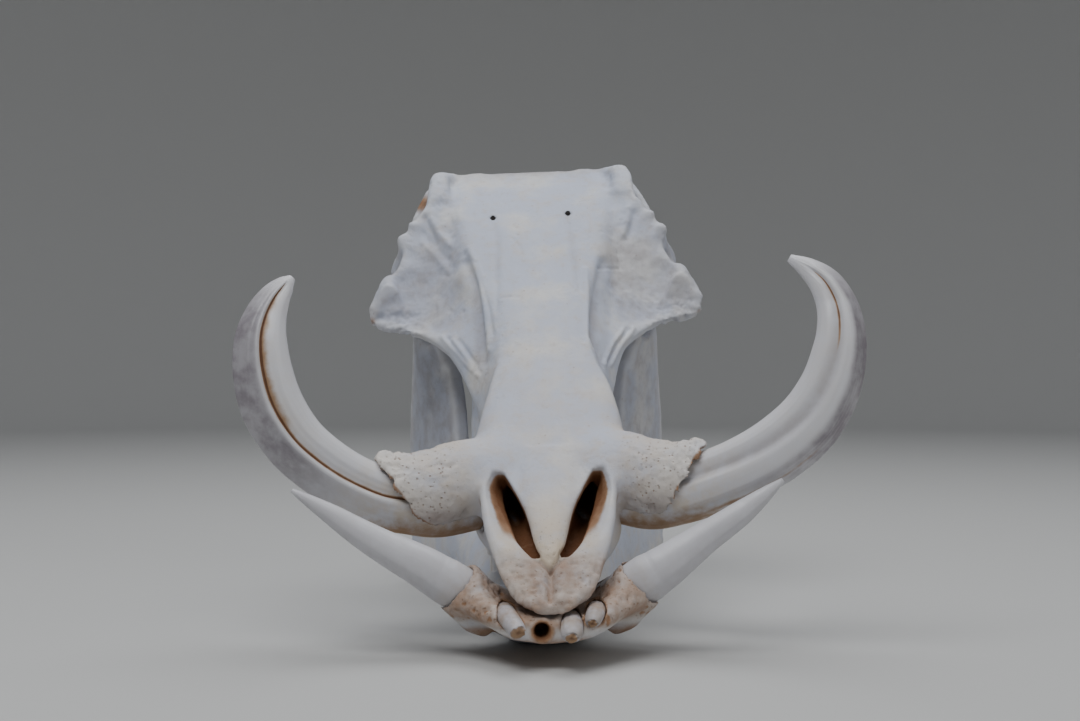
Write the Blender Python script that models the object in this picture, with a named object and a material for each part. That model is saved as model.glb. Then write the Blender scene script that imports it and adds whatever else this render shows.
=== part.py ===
# Warthog skull, dry and cleaned, standing on its lower jaw with the muzzle toward -Y.
# Shapes are worked out in millimetres in a layout frame: X across, Y back from the chin
# front, Z up from the table. to_world() turns that into metres about the resting centre.
import bpy
import bmesh
import math
from mathutils import Vector, Matrix

for old in list(bpy.data.objects):
    bpy.data.objects.remove(old, do_unlink=True)

MM = 0.001
ORIGIN = (5.3, 161.5, 0.0)          # layout point that becomes the origin
CRANIUM_ROLL = 2.5                  # degrees, the cranium sits a little askew on the jaw
CRANIUM_PIVOT = (3.3, 0.0, 51.8)
JAW_SHIFT = 6.8                     # the chin stands this far to +X of the middle
JAW_YAW = 1.5                       # degrees, the jaw's hinge ends lie back toward the middle
JAW_ROLL = 0.9                      # degrees
VOXEL = 2.6                         # grid of the fused bone bodies
FIT = 0.45                          # gap between a tooth and its socket
CRANIUM_FACES = 3400
JAW_FACES = 1700

BONE = (0.80, 0.79, 0.77)
IVORY = (0.84, 0.82, 0.78)
ENAMEL = (0.74, 0.70, 0.62)


# Maths for curves and lofts

def spline(points, count):
    """Catmull-Rom curve through the points, sampled evenly in its parameter."""
    out = []
    last = len(points) - 1
    for i in range(count):
        t = last * i / (count - 1)
        k = min(int(t), last - 1)
        f = t - k
        p1 = points[k]
        p2 = points[k + 1]
        p0 = points[k - 1] if k > 0 else [2 * a - b for a, b in zip(p1, p2)]
        p3 = points[k + 2] if k + 2 <= last else [2 * b - a for a, b in zip(p1, p2)]
        out.append([
            0.5 * (2 * b + (c - a) * f + (2 * a - 5 * b + 4 * c - d) * f * f
                   + (3 * b - a - 3 * c + d) * f ** 3)
            for a, b, c, d in zip(p0, p1, p2, p3)
        ])
    return out


def mesh_from_rings(name, rings):
    """Closed solid through rings of equally many points, with a flat cap at each end."""
    count = len(rings[0])
    verts = [v for ring in rings for v in ring]
    faces = [tuple(reversed(range(count)))]
    for r in range(len(rings) - 1):
        for i in range(count):
            j = (i + 1) % count
            a = r * count
            b = a + count
            faces.append((a + i, a + j, b + j, b + i))
    start = (len(rings) - 1) * count
    faces.append(tuple(range(start, start + count)))
    return mesh_object(name, verts, faces)


def mesh_object(name, verts, faces):
    """Mesh object with its faces turned outward."""
    mesh = bpy.data.meshes.new(name)
    mesh.from_pydata([tuple(v) for v in verts], [], faces)
    bm = bmesh.new()
    bm.from_mesh(mesh)
    bmesh.ops.recalc_face_normals(bm, faces=bm.faces)
    if bm.calc_volume(signed=True) < 0:
        bmesh.ops.reverse_faces(bm, faces=bm.faces)
    bm.to_mesh(mesh)
    bm.free()
    obj = bpy.data.objects.new(name, mesh)
    bpy.context.scene.collection.objects.link(obj)
    return obj


def station_loft(name, stations, around, along):
    """Symmetric trunk: each station is (y, [(x, z), ...]) from top middle to bottom middle."""
    columns = []
    for c in range(len(stations[0][1])):
        line = [(s[1][c][0], s[0], s[1][c][1]) for s in stations]
        columns.append(spline(line, along))
    rings = []
    for r in range(along):
        half = spline([col[r] for col in columns], around)
        other = [(-p[0], p[1], p[2]) for p in half[-2:0:-1]]
        rings.append([(max(p[0], 0.0), p[1], p[2]) for p in half] + other)
    return mesh_from_rings(name, rings)


def tube(name, path, around=12, along=14, grow=0.0, keep=None):
    """Loft along a path of (x, y, z, half width, half depth, turn): oval sections square to
    the path, the half width lying level and the turn rolling it about the path. A socket for
    the same shape keeps only the first rings, grown and set back by the fit."""
    fine = spline(path, along)
    rings = []
    for i, p in enumerate(fine):
        a = Vector(fine[max(i - 1, 0)][:3])
        b = Vector(fine[min(i + 1, along - 1)][:3])
        t = (b - a).normalized()
        side = t.cross(Vector((0, 0, 1)))
        if side.length < 0.2:
            side = Vector((1, 0, 0)) - t * t.x
        side.normalize()
        up = side.cross(t)
        turn = Matrix.Rotation(math.radians(p[5]), 3, t)
        side = turn @ side
        up = turn @ up
        ring = []
        for k in range(around):
            ang = 2 * math.pi * k / around
            c = math.cos(ang)
            s = math.sin(ang)
            point = Vector(p[:3]) + side * (c * (p[3] + grow)) + up * (s * (p[4] + grow))
            ring.append(point - t * grow if i == 0 else point)
        rings.append(ring)
    return mesh_from_rings(name, rings[:keep])


def plate(name, rows, thick, push, across=9, along=19):
    """Bent plate: rows of front points, a thickness per row and the way its back lies."""
    fine_rows = [spline(r, across) for r in rows]
    grid = [spline([r[c] for r in fine_rows], along) for c in range(across)]
    depth = [t[0] for t in spline([(t,) for t in thick], along)]
    way = Vector(push).normalized()
    rings = []
    for r in range(along):
        front = [Vector(grid[c][r]) for c in range(across)]
        back = []
        for c in range(across):
            taper = 1.0 - 0.35 * (c / (across - 1)) ** 2
            back.append(front[c] + way * depth[r] * taper)
        rings.append(front + back[::-1])
    return mesh_from_rings(name, rings)


def baked(obj):
    """Replace the object's mesh by the result of its modifiers."""
    graph = bpy.context.evaluated_depsgraph_get()
    mesh = bpy.data.meshes.new_from_object(obj.evaluated_get(graph))
    obj.modifiers.clear()
    obj.data = mesh
    return obj


def fused(name, pieces, voxel):
    """One closed body from overlapping closed pieces."""
    bm = bmesh.new()
    for piece in pieces:
        bm.from_mesh(piece.data)
        bpy.data.objects.remove(piece, do_unlink=True)
    mesh = bpy.data.meshes.new(name)
    bm.to_mesh(mesh)
    bm.free()
    obj = bpy.data.objects.new(name, mesh)
    bpy.context.scene.collection.objects.link(obj)
    remesh = obj.modifiers.new("Fuse", 'REMESH')
    remesh.mode = 'VOXEL'
    remesh.voxel_size = voxel
    soften = obj.modifiers.new("Soften", 'SMOOTH')
    soften.factor = 0.5
    soften.iterations = 3
    return baked(obj)


def cut(obj, cutters):
    """Take the cutters away from the object, one by one."""
    for tool in cutters:
        take = obj.modifiers.new("Cut", 'BOOLEAN')
        take.operation = 'DIFFERENCE'
        take.solver = 'EXACT'
        take.object = tool
        baked(obj)
        bpy.data.objects.remove(tool, do_unlink=True)
    return obj


def largest_body(obj):
    """Keep the one body with the most faces."""
    bm = bmesh.new()
    bm.from_mesh(obj.data)
    left = set(bm.faces)
    best = set()
    while left:
        seed = left.pop()
        group = {seed}
        edge = [seed]
        while edge:
            face = edge.pop()
            for e in face.edges:
                for other in e.link_faces:
                    if other in left:
                        left.discard(other)
                        group.add(other)
                        edge.append(other)
        if len(group) > len(best):
            best = group
    bmesh.ops.delete(bm, geom=[f for f in bm.faces if f not in best], context='FACES')
    bm.to_mesh(obj.data)
    bm.free()
    return obj


def thinned(obj, faces):
    """Fewer triangles, with the shape kept."""
    obj.data.calc_loop_triangles()
    step = obj.modifiers.new("Thin", 'DECIMATE')
    step.ratio = min(1.0, faces / len(obj.data.loop_triangles))
    return baked(obj)


def tidied(obj):
    """Triangles only, without slivers of no length."""
    bm = bmesh.new()
    bm.from_mesh(obj.data)
    bmesh.ops.dissolve_degenerate(bm, edges=bm.edges, dist=0.02)
    bmesh.ops.triangulate(bm, faces=bm.faces)
    bm.to_mesh(obj.data)
    bm.free()
    return obj


def box(name, low, high):
    """Block between two corners."""
    x = (low[0], high[0])
    y = (low[1], high[1])
    rings = [[(x[0], y[0], z), (x[1], y[0], z), (x[1], y[1], z), (x[0], y[1], z)]
             for z in (low[2], high[2])]
    return mesh_from_rings(name, rings)


# Placing

def cranium_place():
    pivot = Vector(CRANIUM_PIVOT)
    roll = Matrix.Rotation(math.radians(-CRANIUM_ROLL), 4, 'Y')
    return Matrix.Translation(pivot) @ roll @ Matrix.Translation((0, 0, -pivot.z))


def jaw_place():
    roll = Matrix.Rotation(math.radians(-JAW_ROLL), 4, 'Y')
    yaw = Matrix.Rotation(math.radians(JAW_YAW), 4, 'Z')
    return Matrix.Translation((JAW_SHIFT, 0, 0)) @ yaw @ roll


def placed(obj, matrix):
    obj.data.transform(matrix)
    return obj


def to_world(obj):
    obj.data.transform(Matrix.Scale(MM, 4) @ Matrix.Translation([-v for v in ORIGIN]))
    return obj


# Cranium: snout, face and braincase as one trunk

TRUNK = [
    (1.5, [(0, 33), (3, 33), (7, 32.5), (8.5, 31), (8, 29.2), (4, 28.2), (0, 28)]),
    (5, [(0, 37), (6, 37), (12, 36.5), (14, 35), (12.5, 32), (7, 29.2), (0, 28.6)]),
    (12, [(0, 43), (9, 43.3), (18, 43), (21.5, 40), (20, 35.5), (14, 31.8), (0, 30.4)]),
    (20, [(0, 51), (9, 51), (21, 51), (26.5, 47.5), (23.5, 40), (16.5, 33), (0, 31)]),
    (28, [(0, 58), (9, 58.5), (22.5, 58.5), (30, 54.5), (25.5, 44), (20, 35.5), (0, 32.5)]),
    (45, [(0, 76), (14, 76), (28, 78), (35.8, 73), (31.5, 55), (24, 41), (0, 36.5)]),
    (66, [(0, 97), (18, 97), (32, 100), (39.4, 94), (36, 72), (30, 46), (0, 40)]),
    (85, [(0, 116), (20, 115), (36, 112), (42.6, 101), (42, 76), (34, 50), (0, 44)]),
    (105, [(0, 135), (18, 133.5), (34, 129), (43.5, 117), (44, 90), (36, 56), (0, 50)]),
    (128, [(0, 156), (15, 155), (30, 151), (36.5, 143), (38, 110), (35, 64), (0, 57)]),
    (150, [(0, 176), (14, 175), (25, 171), (29, 162), (34, 125), (36, 73), (0, 64)]),
    (175, [(0, 200), (17, 199), (29, 194), (34, 180), (39, 140), (40, 81), (0, 71)]),
    (200, [(0, 223), (22, 222.5), (38, 217), (44, 200), (44, 150), (42, 91), (0, 79)]),
    (220, [(0, 243), (30, 243), (46, 238), (50, 215), (44, 165), (36, 104), (0, 94)]),
    (240, [(0, 261), (34, 262), (51, 259), (48, 232), (39, 184), (26, 140), (0, 132)]),
    (258, [(0, 276), (36, 277), (52, 276), (45, 245), (38, 200), (26, 162), (0, 156)]),
    (278, [(0, 290), (34, 290.5), (48, 290), (42, 262), (39, 220), (28, 178), (0, 173)]),
    (296, [(0, 298), (26, 298), (44, 296), (42, 268), (41, 228), (30, 190), (0, 186)]),
    (305, [(0, 292), (22, 292), (40, 288), (42, 260), (41, 226), (28, 192), (0, 188)]),
    (317, [(0, 258), (16, 257), (32, 251), (36, 234), (33, 214), (20, 195), (0, 191)]),
    (327, [(0, 225), (10, 224), (18, 220), (22, 212), (20, 203), (12, 197), (0, 195)]),
]

# Cheek plate that carries the wing in front of the eye, from the brow down to the face
CHEEK = [
    [(40, 284, 287), (50, 280, 291), (59, 274, 294), (66, 268, 295.5)],
    [(42, 255, 271), (54, 253, 272), (64, 250, 272.5), (72, 248, 272.5)],
    [(44, 240, 256), (58, 242, 257), (72, 243, 257), (84, 245, 255.5)],
    [(43, 228, 243), (58, 235, 246), (75, 239, 246), (90.5, 240, 245)],
    [(41, 216, 231), (57, 230, 237), (74, 234, 237), (88.5, 236, 237)],
    [(39, 206, 221), (56, 224, 226), (75, 230, 227), (93, 228, 225)],
    [(35, 195, 209), (52, 215, 213), (77, 226, 213), (105, 222, 211)],
    [(31, 184, 197), (48, 205, 201), (78, 219, 199), (111, 215, 196)],
    [(29, 172, 185), (45, 194, 191), (73, 210, 188), (106, 211, 188)],
    [(28, 160, 175), (41, 180, 179), (60, 193, 179), (82, 203, 182)],
    [(29, 150, 165), (38, 167, 167), (48, 178, 168), (60, 188, 169.5)],
    [(31, 141, 152), (37, 155, 151), (43, 168, 152), (50, 178, 153.5)],
    [(32, 134, 138), (35, 146, 137), (39, 157, 136), (43, 166, 135)],
    [(32, 128, 124), (34, 138, 123), (36, 148, 122), (38, 156, 121)],
]
CHEEK_THICK = [9, 11, 13, 14, 14, 14, 14, 13, 12, 12, 14, 14, 13, 10]

# Paths hold x, y, z, half width, half depth and turn
ARCH = [
    (97, 216, 202, 8, 13, 0),
    (99, 229, 203, 6, 18, 0),
    (98, 245, 205, 5, 18, 0),
    (94, 262, 210, 5, 14.5, 0),
    (87, 278, 214.5, 7, 11.5, 0),
    (74, 291, 217, 10, 11, 0),
    (52, 298, 218, 12, 14, 0),
    (30, 300, 218, 10, 14, 0),
]
EYE_LOWER_RIM = [
    (83, 243, 244, 5, 6, 0),
    (87, 249, 236, 5, 8, 0),
    (91, 257, 227, 5, 10, 0),
    (94, 268, 217, 5, 9, 0),
]
BROW = [
    (63, 254, 274, 7, 4, 0),
    (64, 262, 286, 6.5, 4.5, 0),
    (63, 271, 292.5, 6, 4.5, 0),
    (58, 283, 293.5, 6, 4.5, 0),
    (50, 294, 293, 7, 5, 0),
    (40, 301, 289, 9, 7, 0),
]
EYE_BACK_RIM = [
    (56, 288, 291, 6, 5, 0),
    (67, 284, 286, 5, 4.5, 0),
    (74, 277, 275, 4, 5, 0),
    (80, 272, 258, 4, 6, 0),
    (86, 268, 240, 4.5, 7, 0),
    (91, 266, 224, 5, 9, 0),
]
TEMPLE = [
    (78, 291, 214, 9, 9, 0),
    (68, 297, 236, 6, 9, 0),
    (58, 301, 262, 5, 8, 0),
    (48, 303, 285, 6, 7, 0),
    (34, 303, 292, 6, 7, 0),
]
CANINE_SLEEVE = [
    (22, 98, 98, 24, 20, 0),
    (45, 87, 94, 24, 23, 0),
    (62, 79, 88.5, 22, 24, 0),
    (76, 75, 88, 20.5, 23.5, 0),
    (87, 74, 92, 20, 21, 0),
    (97.5, 73, 98.5, 18, 15.5, 0),
]
CONDYLE_BACK = [
    (14, 318, 196, 9, 9, 0),
    (15, 328, 196, 10, 10, 0),
    (15, 336, 197, 7, 7, 0),
]
JUGULAR = [
    (38, 306, 212, 10, 10, 0),
    (41, 310, 192, 7, 9, 0),
    (41, 308, 168, 4.5, 6, 0),
    (39, 304, 145, 2.5, 3.5, 0),
]
BULLA = [
    (26, 283, 186, 9, 9, 0),
    (26, 282, 172, 9, 9, 0),
    (25, 280, 157, 5, 5, 0),
]
PTERYGOID = [
    (18, 222, 118, 3.5, 12, 0),
    (20, 236, 128, 3, 17, 0),
    (22, 250, 142, 3, 16, 0),
    (22, 264, 158, 3, 12, 0),
]
TOOTH_RIDGE = [
    (30, 118, 60, 9, 12, 0),
    (31, 145, 70, 12, 14, 0),
    (31, 175, 79, 13, 15, 0),
    (31, 205, 89, 12, 14, 0),
    (28, 217, 96, 8, 10, 0),
]
NOSTRIL = [
    (9, 36, 55, 2.5, 3.5, 0),
    (13, 45, 61, 4, 6, 0),
    (18, 58, 68, 6, 9, 0),
    (20, 72, 76, 7, 12, 0),
    (20, 86, 82, 7, 13, 0),
    (18, 108, 90, 5, 9, 0),
]
# Nose opening's side: nasal edge, slit's outer edge, muzzle rim, y, z, and depth of wall and slit
NOSE_SLOT = [
    (6.2, 8.6, 12, 25, 55.5, 0.8, 6),
    (9.5, 16.5, 29, 34, 65, 4.5, 15),
    (13.3, 21.5, 32.6, 47, 78.5, 8, 22),
    (20, 24.5, 34.4, 58, 90, 11, 26),
    (25.5, 27, 30.5, 66, 98.5, 13, 26),
]
SWAY = [(0, 2.2), (25, 2.4), (65, 3.2), (95, 5.6), (125, 6.4), (150, 4.8), (185, 1.5), (215, 0.0)]
CHOANA = [
    (0, 206, 96, 11, 12, 0),
    (0, 225, 116, 13, 13, 0),
    (0, 242, 136, 12, 9, 0),
]
FORAMEN = [
    (0, 342, 208, 12, 10, 0),
    (0, 326, 210, 12, 10, 0),
    (0, 306, 216, 11, 10, 0),
    (0, 285, 226, 9, 8, 0),
]
EAR = [
    (70, 300, 240, 3.5, 3.5, 0),
    (52, 297, 240, 3.5, 3.5, 0),
]

UPPER_TUSK_RIGHT = [
    (40, 90, 80, 16.5), (60, 79, 79, 17.4), (76, 73, 82.5, 17.8), (91.5, 68, 87, 17.6), (110, 62, 97.5, 17.2),
    (125.8, 57, 110.3, 17.2), (137.5, 54, 123.4, 17.4), (147, 52, 141.4, 17.6), (151.4, 52, 160, 16.6),
    (152.3, 54, 177, 14.8), (150, 58, 190, 12.2), (145.5, 62, 200.5, 9.3), (140.2, 66, 208, 6),
    (136, 69, 212.5, 2.2),
]
UPPER_TUSK_LEFT = [
    (40, 90, 82, 16.5), (60, 79, 78.5, 17.4), (76, 73, 81.5, 18), (92, 68, 86.5, 18.4), (112, 62, 94.5, 18.4),
    (131, 57, 105, 18.6), (148.5, 53, 120, 18.2), (160, 51, 138, 16.9), (166.2, 51, 157, 15.2),
    (168, 53, 172, 13.2), (166.7, 57, 185, 11.3), (161.8, 61, 196.5, 9.2), (154, 66, 205, 6.2),
    (144.5, 70, 211.5, 2.4),
]


# Lower jaw, before its own shift, yaw and roll

CHIN = [
    (1, [(0, 25), (10, 25.5), (19, 26), (22, 22), (15, 16), (0, 14.5)]),
    (8, [(0, 27.5), (16, 28), (28, 31), (33, 25), (22, 16), (0, 13)]),
    (22, [(0, 28), (20, 29.5), (38, 37), (45, 28), (26, 16), (0, 11)]),
    (36, [(0, 28), (22, 30.5), (42, 44), (55, 32), (34, 18), (0, 9)]),
    (52, [(0, 28), (20, 30.5), (38, 40), (46, 28), (29, 13), (0, 5)]),
    (70, [(0, 28), (17, 30.5), (27, 34), (33, 23), (23, 4), (0, 0)]),
    (90, [(0, 26), (13, 29), (22, 33), (27, 19), (19, -1.5), (0, -4)]),
    (106, [(0, 21), (10, 25), (19, 32), (25, 18), (19, 1), (0, 1)]),
    (116, [(0, 15), (8, 16), (16, 20), (20, 16), (16, 7), (0, 9)]),
]
BODY = [
    (17, 85, 17, 10, 15, 0),
    (21, 110, 17.5, 10.5, 15.5, 0),
    (26, 140, 20, 12, 17.5, 0),
    (32, 170, 26, 13, 20.5, 0),
    (41, 205, 30, 13, 26, 0),
    (53, 235, 33, 11, 31.5, 0),
    (67, 262, 32, 9, 36, 0),
    (77, 282, 34, 7, 37.5, 0),
    (81, 292, 40, 5.5, 32, 0),
]
BRANCH_ROWS = [
    [(45, 212, 40), (58, 240, 20), (70, 268, -2), (80, 288, -1)],
    [(47, 214, 62), (60, 242, 50), (74, 275, 34), (85, 301, 30)],
    [(50, 219, 90), (61, 246, 85), (75, 278, 78), (86, 308, 74)],
    [(53, 224, 118), (63, 248, 115), (75, 276, 112), (86, 304, 110)],
    [(57, 230, 145), (66, 250, 144), (76, 272, 144), (84, 296, 146)],
    [(62, 235, 165), (68, 250, 166), (76, 268, 169), (83, 290, 172)],
    [(66, 238, 176), (70, 250, 172), (76, 268, 178), (82, 288, 186)],
]
BRANCH_THICK = [9, 10, 10, 9.5, 9, 8.5, 8]
CORONOID = [
    (63, 236, 158, 8, 5, 0),
    (66, 238, 172, 7, 4.5, 0),
    (68, 241, 183, 4, 3.5, 0),
    (69, 243, 188, 2, 2, 0),
]
HINGE = [
    (66, 279, 192, 7, 6, 0),
    (76, 280, 194, 8.5, 7, 0),
    (86, 281, 193, 8, 6.5, 0),
    (92, 281, 191, 5, 4, 0),
]
LOWER_SLEEVE = [
    (18, 60, 17, 12, 11, 0),
    (37, 46.5, 28.5, 13.6, 12.4, 0),
    (49, 38.5, 39, 14.2, 14.2, 0),
]
LOWER_LIP = [
    (34, 46, 15, 8, 6, 0),
    (44, 42, 19, 7, 5, 0),
    (53, 39, 27, 5.5, 3.2, 0),
    (60, 37.4, 33, 3.2, 1.2, 0),
]
LOWER_TUSK_RIGHT = [
    (21, 60, 16, 10), (37, 46.5, 28.5, 12), (52.7, 39, 39.6, 12.6), (61, 37.5, 45, 12), (69.6, 37, 50.5, 11.2),
    (90, 37.5, 61.6, 9.0), (104, 38.5, 70, 7.4), (117, 39.5, 78.6, 5.6), (131, 40.5, 87.4, 3.0), (138.5, 41, 92, 1.2),
]
LOWER_TUSK_LEFT = [
    (21, 60, 16, 10.5), (36.5, 46.5, 28.5, 12.4), (51.4, 39, 39.9, 13.2), (58.5, 37.5, 44.6, 12.4), (66.3, 37, 49.8, 11.4),
    (84.8, 37, 62.7, 8.8), (95, 37.5, 69.2, 7.8), (106, 38.5, 76.4, 6.6), (119, 39.5, 86, 4.0), (128, 40, 93, 1.3),
]
# Lower front teeth: root end, then tip, as x, y, z and half width
INCISORS = {
    "lower_incisor_right_2": [(-25, 34, 26.5, 5), (-23.8, 12, 27.8, 5.5), (-19.5, -4, 24.3, 5), (-17.5, -9, 21.5, 4.2)],
    "lower_incisor_left_1": [(11, 30, 22.5, 5), (10.5, 8, 23.6, 5.7), (9.5, -7, 20.8, 5.7), (9, -12, 18.6, 3)],
    "lower_incisor_left_2": [(25, 34, 26.5, 4.6), (23.5, 12, 28.6, 5), (21, -1, 26.4, 4.4), (20, -5, 24.6, 2.4)],
}
EMPTY_SOCKET = [(-5.4, -12, 20.3, 4.4, 4.4, 0), (-5.6, 6, 20.8, 4.2, 4.2, 0), (-6, 20, 21, 3, 3, 0)]

# Cheek teeth: name, middle x, front y, back y, half width
UPPER_CHEEK = [("upper_molar_2", 29.5, 124, 143.6, 7), ("upper_molar_3", 30.5, 145, 199, 8)]
LOWER_CHEEK = [("lower_molar_2", 27.0, 126, 145.6, 6), ("lower_molar_3", 31.5, 147, 203, 6.8)]
LOWER_CHEEK_TURN = 9.0              # degrees, the lower rows spread backward
BITE = (57.0, 170.0, 0.3057)        # height, at this y, and slope of the biting plane
BITE_GAP = 1.5


def bite_height(y):
    return BITE[0] + BITE[2] * (y - BITE[1])


def tusk(name, path, side, grow, groove, around, along, keep=None):
    """Curved tooth: rings of x, y, z and half width, with a groove down its front face. A
    socket keeps only the first rings, grown and set back by the fit."""
    fine = spline(path, along)
    rings = []
    for i, p in enumerate(fine):
        a = Vector(fine[max(i - 1, 0)][:3])
        b = Vector(fine[min(i + 1, along - 1)][:3])
        t = (b - a).normalized()
        depth = Vector((0, 1, 0))
        depth = (depth - t * depth.dot(t)).normalized()
        width = t.cross(depth)
        ring = []
        for k in range(around):
            ang = 2 * math.pi * k / around
            dent = math.exp(-((ang - 4.25) / 0.38) ** 2) * groove
            if i < 3:
                dent = 0.0
            r = (p[3] + grow) * (1.0 - dent)
            u = r * math.cos(ang)
            v = r * math.sin(ang) * 0.82
            point = Vector(p[:3]) - width * u + depth * v
            if i == 0:
                point = point - t * grow
            ring.append((point.x * side, point.y, point.z))
        rings.append(ring)
    return mesh_from_rings(name, rings[:keep])


def molar(name, middle, front, back, half, crown, root, turn, grow):
    """Cheek tooth: a long rounded block with shallow flutes, cut off along the bite."""
    count = 14
    length = (back - front) / 2 + grow
    y_mid = (front + back) / 2
    spin = math.radians(turn)
    rings = []
    for level in range(3):
        f = level / 2
        ring = []
        for k in range(count):
            a = 2 * math.pi * k / count
            c = math.cos(a)
            s = math.sin(a)
            wide = (half + grow) * (1.0 - 0.06 * (k % 2))
            u = math.copysign(abs(c) ** 0.7, c) * wide * (0.92 + 0.08 * math.sin(math.pi * f))
            v = math.copysign(abs(s) ** 0.7, s) * length
            x = middle + u * math.cos(spin) + v * math.sin(spin)
            y = y_mid - u * math.sin(spin) + v * math.cos(spin)
            z = bite_height(y) + crown + (root - crown) * f
            ring.append((x, y, z))
        rings.append(ring)
    return mesh_from_rings(name, rings)


def both(make, *args):
    """Right piece, then its mirror image."""
    first = make("side", *args)
    mirror = first.copy()
    mirror.data = first.data.copy()
    bpy.context.scene.collection.objects.link(mirror)
    mirror.data.transform(Matrix.Scale(-1, 4, (1, 0, 0)))
    mirror.data.flip_normals()
    return [first, mirror]


def slots():
    """Openings of the nose, one each side of the nasal bones: a sloping wall inside the
    muzzle's rim, then a deep slit under the nasal edge."""
    out = []
    into = Vector((0, 0.68, -0.73))
    for side in (1, -1):
        rings = []
        for nasal, slit, rim, y, z, wall, deep in spline(NOSE_SLOT, 9):
            corners = [(nasal, -10), (rim + 1, -10), (rim, 0.3), (0.45 * rim + 0.55 * slit, 0.62 * wall),
                       (slit + 0.6, wall), (slit - 1, deep), (nasal - 2.5, deep), (nasal - 0.6, 0.3 * wall + 2.2)]
            rings.append([Vector((x * side, y, z)) + into * depth for x, depth in corners])
        out.append(mesh_from_rings("slot", rings))
    return out


def ease(value, low, high):
    """0 below low, 1 above high, an S-curve between."""
    t = min(max((value - low) / (high - low), 0.0), 1.0)
    return t * t * (3 - 2 * t)


def swayed(obj):
    """Bends the muzzle toward +X by SWAY, fading out at the tusk sleeves and the teeth."""
    for vertex in obj.data.vertices:
        x, y, z = vertex.co
        shift = SWAY[-1][1]
        for (y0, s0), (y1, s1) in zip(SWAY, SWAY[1:]):
            if y < y1:
                shift = s0 + (s1 - s0) * max(y - y0, 0.0) / (y1 - y0)
                break
        above = max(ease(100 - y, 0, 20), ease(z - 26 - 0.27 * y, 12, 40))
        vertex.co.x = x + shift * (1 - ease(abs(x), 38, 64)) * above
    return obj


def build_cranium():
    pieces = [station_loft("trunk", TRUNK, 15, 60)]
    for path in (ARCH, EYE_LOWER_RIM, BROW, EYE_BACK_RIM, TEMPLE, CANINE_SLEEVE, CONDYLE_BACK, JUGULAR,
                 BULLA, PTERYGOID, TOOTH_RIDGE):
        pieces += both(tube, path, 16, 16)
    pieces += both(plate, CHEEK, CHEEK_THICK, (0, 1, -0.35), 13, 40)
    body = fused("cranium", pieces, VOXEL)
    tools = slots() + both(tube, NOSTRIL, 14, 14)
    tools += [tube("choana", CHOANA, 14, 10), tube("foramen", FORAMEN, 14, 10)]
    tools += both(tube, EAR, 8, 4)
    cut(body, tools)
    body = largest_body(body)
    body = fused("cranium", [body], VOXEL)
    body = swayed(largest_body(body))
    return thinned(body, CRANIUM_FACES)


def build_jaw():
    pieces = [station_loft("chin", CHIN, 11, 34)]
    for path in (BODY, CORONOID, HINGE, LOWER_SLEEVE, LOWER_LIP):
        pieces += both(tube, path, 16, 18)
    pieces += both(plate, BRANCH_ROWS, BRANCH_THICK, (1, -0.45, 0), 11, 22)
    body = largest_body(fused("mandible", pieces, VOXEL))
    return thinned(body, JAW_FACES)


cranium = build_cranium()
jaw = build_jaw()

teeth = []
cranium_tools = []
jaw_tools = []

for node, path, side in (("upper_tusk_left", UPPER_TUSK_LEFT, 1), ("upper_tusk_right", UPPER_TUSK_RIGHT, -1)):
    teeth.append((tusk(node, path, side, 0.0, 0.16, 14, 18), cranium_place(), IVORY))
    cranium_tools.append(tusk("socket", path, side, FIT, 0.0, 14, 18, 8))
for node, path, side in (("lower_tusk_left", LOWER_TUSK_LEFT, 1), ("lower_tusk_right", LOWER_TUSK_RIGHT, -1)):
    teeth.append((tusk(node, path, side, 0.0, 0.0, 11, 11), jaw_place(), IVORY))
    jaw_tools.append(tusk("socket", path, side, FIT, 0.0, 11, 11, 6))
for node, path in INCISORS.items():
    full = [(p[0], p[1], p[2], p[3], p[3] * 0.85, 0) for p in path]
    teeth.append((tube(node, full, 8, 7), jaw_place(), IVORY))
    jaw_tools.append(tube("socket", full, 8, 7, FIT, 6))
jaw_tools.append(tube("socket", EMPTY_SOCKET, 10, 4))

for side, word in ((1, "left"), (-1, "right")):
    for node, x, front, back, half in UPPER_CHEEK:
        spec = (x * side, front, back, half, BITE_GAP / 2)
        teeth.append((molar(f"{node}_{word}", *spec, 24.0, 0.0, 0.0), cranium_place(), ENAMEL))
        cranium_tools.append(molar("socket", *spec, 24.0 + FIT, 0.0, FIT))
    for node, x, front, back, half in LOWER_CHEEK:
        spec = (x * side, front, back, half, -BITE_GAP / 2)
        turn = LOWER_CHEEK_TURN * side
        teeth.append((molar(f"{node}_{word}", *spec, -26.0, turn, 0.0), jaw_place(), ENAMEL))
        jaw_tools.append(molar("socket", *spec, -26.0 - FIT, turn, FIT))

cut(cranium, cranium_tools)
cut(jaw, jaw_tools)
placed(cranium, cranium_place())
placed(jaw, jaw_place())
cut(jaw, [box("table", (-300, -100, -60), (300, 500, 0.0))])
pieces = [(largest_body(cranium), BONE), (largest_body(jaw), BONE)]
for tooth, matrix, colour in teeth:
    pieces.append((placed(tooth, matrix), colour))

for obj, colour in pieces:
    tidied(obj)
    to_world(obj)
    material = bpy.data.materials.new(obj.name)
    material.use_nodes = True
    shader = material.node_tree.nodes["Principled BSDF"]
    shader.inputs["Base Color"].default_value = (*colour, 1.0)
    shader.inputs["Roughness"].default_value = 0.7 if colour is BONE else 0.4
    shader.inputs["Metallic"].default_value = 0.0
    obj.data.materials.clear()
    obj.data.materials.append(material)
    for face in obj.data.polygons:
        face.use_smooth = False
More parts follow.
